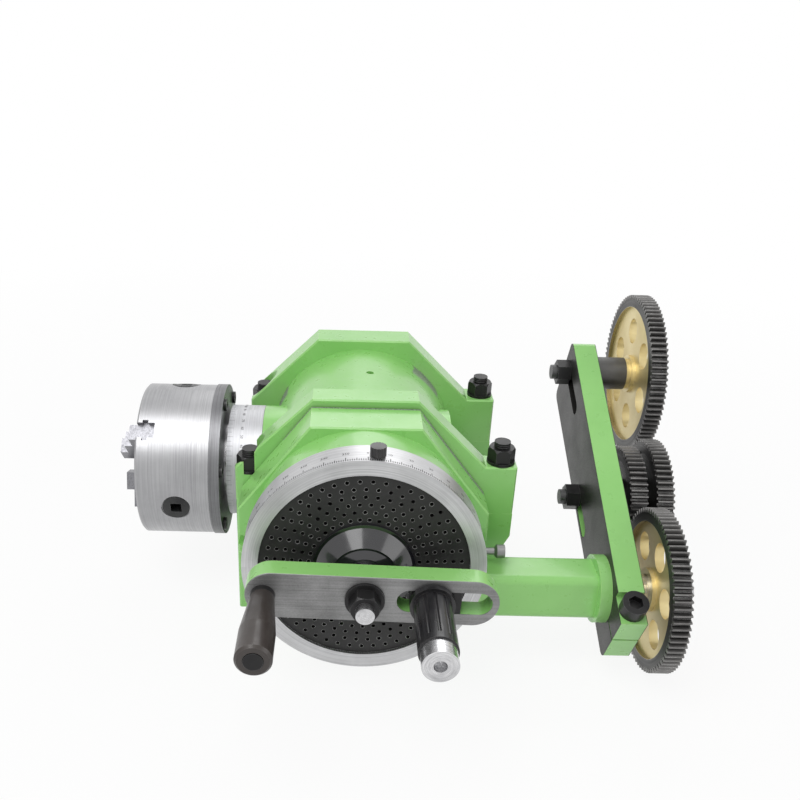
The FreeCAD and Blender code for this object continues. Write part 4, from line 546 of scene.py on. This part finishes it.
plainGreen = greenPaint("greenEnamel")
for node in ("base_casting", "front_clamp_cap", "rear_clamp_cap", "rear_cover", "side_shaft_arm"):
    dress(node, plainGreen)
dress("front_cover", greenPaint("coverEnamel", coverBareMask))
dress("swivel_housing", greenPaint("housingEnamel", drumBareMask))
dress("crank_arm", greenPaint("crankArmFinish", armFaceMask,
                              dark=(0.17, 0.17, 0.17, 1), bright=(0.34, 0.34, 0.34, 1), speckle=0.2))
dress("banjo_plate", greenPaint("banjoFinish", banjoFaceMask,
                                dark=(0.016, 0.016, 0.016, 1), bright=(0.042, 0.04, 0.038, 1), speckle=0.3))
print("castings painted")

for node in ("clamp_nuts", "clamp_washers", "stud_nuts", "cover_screws", "chuck_screws", "banjo_clamp_screw"):
    dress(node, nutFinish(node + "Black"))
dress("clamp_studs", nutFinish("clampStudThread", pitch=2 * mm))
dress("crank_nut", nutFinish("crankNutBlack", crankAxis, alongY))
dress("crank_washer", nutFinish("crankWasherBlack", crankAxis, alongY))
dress("plunger_block", nutFinish("plungerBlockBlack", crankAxis, alongY))
sideAxis = centreOf("side_shaft_nut")
dress("side_shaft_nut", nutFinish("sideNutBlack", sideAxis, alongX))
dress("side_shaft_washer", nutFinish("sideWasherBlack", sideAxis, alongX))
dress("gear_studs", darkSteel("gearStudSteel", (0.06, 0.06, 0.062, 1), (0.16, 0.16, 0.16, 1)))

greySteel = darkSteel("machinedSteel", (0.09, 0.09, 0.095, 1), (0.2, 0.2, 0.2, 1), metallic=0.9)
for node in ("wheel_key", "spindle_nut", "scroll_plate", "worm_spur_gear"):
    dress(node, greySteel)
dress("chuck_backplate", darkSteel("backplateSteel", (0.11, 0.11, 0.115, 1), (0.24, 0.24, 0.25, 1),
                                   place=spindleAxis, axis=alongX, grain=True, metallic=0.8))
pinionSteel = darkSteel("pinionSteel", (0.03, 0.03, 0.032, 1), (0.09, 0.09, 0.09, 1), metallic=0.8)
for index in (1, 2, 3):
    dress(f"chuck_pinion_{index}", pinionSteel)
dress("plate_lock_pin", darkSteel("lockPinSteel", (0.12, 0.12, 0.12, 1), (0.36, 0.36, 0.36, 1), metallic=0.9))

dress("chuck_body", brightSteel("chuckSteel", spindleAxis, alongX, dark=(0.30, 0.30, 0.31, 1),
                                bright=(0.47, 0.47, 0.48, 1), fineness=1100.0, roughness=(0.3, 0.42)))
jawSteel = brightSteel("jawSteel", (0, 0, 0), alongZ, dark=(0.14, 0.14, 0.15, 1), bright=(0.32, 0.32, 0.34, 1),
                       roughness=(0.3, 0.45))
for index in (1, 2, 3):
    dress(f"chuck_jaw_{index}", jawSteel)
for node in ("spindle", "side_shaft"):
    dress(node, brightSteel(node + "Steel", spindleAxis if node == "spindle" else sideAxis, alongX))
dress("graduated_collar", brightSteel("collarSteel", (-0.1048, 0.0, spindleHeight), alongX,
                                      dark=(0.42, 0.42, 0.44, 1), bright=(0.6, 0.6, 0.62, 1), metallic=0.8,
                                      roughness=(0.4, 0.52),
                                      marks={"Count": 360.0, "Edge": -0.0354, "Short": 0.0, "Width": 0.12}))
dress("dial_ring", brightSteel("dialRingSteel", (0.0, -0.2085, spindleHeight), alongY,
                               dark=(0.42, 0.42, 0.43, 1), bright=(0.68, 0.68, 0.69, 1), metallic=0.8,
                               roughness=(0.32, 0.46),
                               marks={"Count": 360.0, "Edge": 0.001, "Width": 0.2}))
dress("handle_pin", nutFinish("handlePinBlack", crankAxis, alongY))
for node in ("worm_shaft", "crank_shaft", "index_pin"):
    dress(node, brightSteel(node + "Steel", crankAxis, alongY))
dress("knob_end_sleeve", brightSteel("endSleeveSteel", centreOf("knob_end_sleeve"), alongY))
dress("plunger_spring", brightSteel("springSteel", crankAxis, alongY))
bronze = brightSteel("bushBronze", crankAxis, alongY, dark=(0.42, 0.26, 0.1, 1), bright=(0.66, 0.45, 0.2, 1))
for node in ("worm_wheel", "spindle_bushes", "drive_bushes", "side_shaft_bushes"):
    dress(node, bronze)
print("steel and bronze dressed")

for node, teeth, gilded in (("side_change_gear", 77, True), ("mid_gear_small", 54, False),
                            ("mid_gear_large", 62, False), ("top_change_gear", 86, True)):
    dress(node, gearSteel(node + "Steel", centreOf(node), teeth, gilded))


# blacked plate with a painted highlight on its edges and hole rims, enamelled hub and moulded knobs
blacks = {
    "plateDark": (0.006, 0.006, 0.006, 1), "plateBright": (0.019, 0.018, 0.018, 1),
    "hubDark": (0.006, 0.006, 0.008, 1), "hubBright": (0.016, 0.016, 0.02, 1),
    "gripDark": (0.016, 0.012, 0.010, 1), "gripBright": (0.045, 0.035, 0.03, 1),
    # the light grey for the index plate's hole rims is a painted highlight, standing in for the lamps reflected
    # in their chamfers
    "edge": (0.11, 0.10, 0.095, 1), "holeRimHighlight": (0.5, 0.5, 0.5, 1), "edgeRadius": 0.8 * mm,
    "groupRoughness": (0.25, 0.4), "coatRoughness": 0.08, "bumpDepth": 0.1 * mm,
}


def blackMoulding(name, dark, bright, roughness, coat, bumpStrength=0.2, edge=blacks["edge"], edgeAmount=0.6):
    material, tree, shader = newMaterial(name)
    coords = objectPlace(tree)
    finish = useGroup(tree, castFinish, Vector=coords, First=dark, Second=bright)
    edgeMask = useGroup(tree, edgeWearAndHighlight, Vector=coords, Radius=blacks["edgeRadius"], Amount=edgeAmount)["Mask"]
    put(tree, shader.inputs["Base Color"], mixColour(tree, edgeMask, finish["Colour"], edge))
    put(tree, shader.inputs["Roughness"],
        remap(tree, finish["Roughness"], *blacks["groupRoughness"], *roughness))
    shader.inputs["Coat Weight"].default_value = coat
    shader.inputs["Coat Roughness"].default_value = blacks["coatRoughness"]
    addBump(tree, shader, finish["Height"], bumpStrength, blacks["bumpDepth"])
    return material


# the index plate's edges and hole rims are painted light grey through the edge mask at strength 1.6: a painted
# highlight
dress("index_plate", blackMoulding("plateBlack", blacks["plateDark"], blacks["plateBright"], (0.4, 0.6), 0.0,
                                   edge=blacks["holeRimHighlight"], edgeAmount=1.6))
dress("plate_hub", blackMoulding("hubEnamel", blacks["hubDark"], blacks["hubBright"], (0.12, 0.25), 0.8,
                                 bumpStrength=0.05))
dress("handle_grip", blackMoulding("gripBlack", blacks["gripDark"], blacks["gripBright"], (0.3, 0.48), 0.2))
dress("plunger_knob", blackMoulding("knobBlack", blacks["hubDark"], blacks["plateBright"], (0.25, 0.4), 0.3))
dress("ring_lock_screw", blackMoulding("lockScrewBlack", blacks["hubDark"], blacks["plateBright"],
                                       (0.3, 0.45), 0.2))
print("black pieces dressed")


# plain numbers on the two scales, engraved and filled: thin letters let into the steel
ringNumbers = {
    "every": 10, "size": 4.4 * mm, "radius": 109 * mm, "y": -194.5 * mm, "depth": 0.3 * mm, "proud": 0.03 * mm,
}
collarNumbers = {
    "every": 10, "size": 4.0 * mm, "radius": 59 * mm, "x": -125.5 * mm, "depth": 0.3 * mm, "proud": 0.03 * mm,
}


def makeNumber(text, size, depth):
    bpy.ops.object.text_add()
    label = bpy.context.object
    label.data.body = text
    label.data.size = size
    label.data.align_x = "CENTER"
    label.data.align_y = "CENTER"
    label.data.resolution_u = 2
    label.data.extrude = depth / 2
    bpy.ops.object.convert(target="MESH")
    return bpy.context.object


def joinPieces(pieces, name):
    bpy.ops.object.select_all(action="DESELECT")
    for piece in pieces:
        piece.select_set(True)
    bpy.context.view_layer.objects.active = pieces[0]
    bpy.ops.object.join()
    joined = bpy.context.object
    joined.name = name
    joined.data.name = name
    return joined


def applyPlace(piece):
    bpy.ops.object.select_all(action="DESELECT")
    piece.select_set(True)
    bpy.context.view_layer.objects.active = piece
    bpy.ops.object.transform_apply(location=True, rotation=True, scale=True)


def numbersRound(name, settings, placeAt):
    bpy.ops.object.select_all(action="DESELECT")
    labels = []
    for degrees in range(0, 360, settings["every"]):
        label = makeNumber(str(degrees), settings["size"], settings["depth"])
        label.matrix_world = placeAt(math.radians(degrees), settings)
        applyPlace(label)
        labels.append(label)
    return joinPieces(labels, name)


def standOn(out, up, centre, settings):
    reach = settings["radius"] - settings["depth"] / 2 + settings["proud"]
    turn = Matrix((up.cross(out), up, out)).transposed().to_4x4()
    return Matrix.Translation(centre + reach * out) @ turn


def onRing(angle, settings):
    # zero stands at the top; the face looks outwards and the digits' tops point to the back
    out = Vector((math.sin(angle), 0.0, math.cos(angle)))
    return standOn(out, Vector((0.0, 1.0, 0.0)), Vector((0.0, settings["y"], spindleHeight)), settings)


def onCollar(angle, settings):
    out = Vector((0.0, -math.cos(angle), math.sin(angle)))
    return standOn(out, Vector((1.0, 0.0, 0.0)), Vector((settings["x"], 0.0, spindleHeight)), settings)


inkMaterial = blackMoulding("engravingInk", blacks["hubDark"], blacks["plateBright"], (0.45, 0.6), 0.0)
ringDigits = numbersRound("dial_numbers", ringNumbers, onRing)
collarDigits = numbersRound("collar_numbers", collarNumbers, onCollar)
for piece, body in ((ringDigits, "plate"), (collarDigits, "spindle")):
    piece.data.materials.clear()
    piece.data.materials.append(inkMaterial)
    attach(piece, body)
print("scale numbers placed")


# floor, light and camera
studio = {
    "floorSize": 14.0, "floorDrop": 0.2 * mm, "floorColour": (0.92, 0.92, 0.92, 1), "floorRoughness": 0.9,
    "worldStrength": 0.42, "nearGlow": 0.9, "fade": (0.5, 1.4), "aim": (0, 0, 0.1),
}
softboxes = (
    {"name": "keySoftbox", "place": (-0.7, -0.9, 2.0), "size": 1.6, "power": 25.0},
    {"name": "fillSoftbox", "place": (1.8, -1.2, 0.9), "size": 1.2, "power": 6.0},
    {"name": "backSoftbox", "place": (0.3, 1.6, 1.6), "size": 1.2, "power": 8.0},
)


def whiteWhenSeen(tree):
    # the camera, gloss and glass see plain white, everything else sees the lit surface
    path = tree.nodes.new("ShaderNodeLightPath").outputs
    seenOrShone = calc(tree, "MAXIMUM", path["Is Camera Ray"], path["Is Glossy Ray"])
    return calc(tree, "MAXIMUM", seenOrShone, path["Is Transmission Ray"])


world = bpy.data.worlds.new("studioWorld")
bpy.context.scene.world = world
world.use_nodes = True
worldTree = world.node_tree
ambient = worldTree.nodes["Background"]
ambient.inputs["Color"].default_value = white
ambient.inputs["Strength"].default_value = studio["worldStrength"]
backdrop = worldTree.nodes.new("ShaderNodeBackground")
backdrop.inputs["Color"].default_value = white
backdrop.inputs["Strength"].default_value = 1.0
blend = worldTree.nodes.new("ShaderNodeMixShader")
put(worldTree, blend.inputs[0], whiteWhenSeen(worldTree))
worldTree.links.new(ambient.outputs[0], blend.inputs[1])
worldTree.links.new(backdrop.outputs[0], blend.inputs[2])
worldTree.links.new(blend.outputs[0], worldTree.nodes["World Output"].inputs["Surface"])

bpy.ops.object.select_all(action="DESELECT")
bpy.ops.mesh.primitive_plane_add(size=studio["floorSize"], location=(0, 0, -studio["floorDrop"]))
floor = bpy.context.object
floor.name = "studio_floor"
floorMaterial, floorTree, floorShader = newMaterial("studioFloor")
floorShader.inputs["Base Color"].default_value = studio["floorColour"]
floorShader.inputs["Roughness"].default_value = studio["floorRoughness"]
glow = floorTree.nodes.new("ShaderNodeEmission")
glow.inputs["Strength"].default_value = 1.0
floorMix = floorTree.nodes.new("ShaderNodeMixShader")
seenFloor = whiteWhenSeen(floorTree)
floorPlace = floorTree.nodes.new("ShaderNodeTexCoord").outputs["Object"]
away = floorTree.nodes.new("ShaderNodeVectorMath")
away.operation = "LENGTH"
put(floorTree, away.inputs[0], floorPlace)
# the floor far from the object is as white as the backdrop
glowShare = remap(floorTree, away.outputs["Value"], *studio["fade"], studio["nearGlow"], 1.0)
put(floorTree, floorMix.inputs[0], calc(floorTree, "MULTIPLY", seenFloor, glowShare))
floorTree.links.new(floorShader.outputs[0], floorMix.inputs[1])
floorTree.links.new(glow.outputs[0], floorMix.inputs[2])
floorTree.links.new(floorMix.outputs[0], floorTree.nodes["Material Output"].inputs["Surface"])
floor.data.materials.append(floorMaterial)


for box in softboxes:
    bpy.ops.object.light_add(type="AREA", location=box["place"])
    lamp = bpy.context.object
    lamp.name = box["name"]
    lamp.data.energy = box["power"]
    lamp.data.size = box["size"]
    ray = Vector(studio["aim"]) - Vector(box["place"])
    lamp.rotation_euler = ray.to_track_quat("-Z", "Y").to_euler()

view = {
    "place": (-0.0239, -0.8820, 0.5875), "lens": 40.92, "sensor": 36, "shift": (0.0625, 0.0625),
    "right": (0.9997, 0.0006, 0.0261), "up": (-0.0236, 0.4477, 0.8939), "forward": (0.0111, 0.8942, -0.4476),
}
bpy.ops.object.camera_add()
camera = bpy.context.object
turn = Matrix((Vector(view["right"]), Vector(view["up"]), -Vector(view["forward"]))).transposed().to_4x4()
camera.matrix_world = Matrix.Translation(Vector(view["place"])) @ turn
camera.data.lens = view["lens"]
camera.data.sensor_width = view["sensor"]
camera.data.shift_x, camera.data.shift_y = view["shift"]
bpy.context.scene.camera = camera
bpy.context.scene.view_settings.view_transform = "Standard"
print("stage, light and camera set")
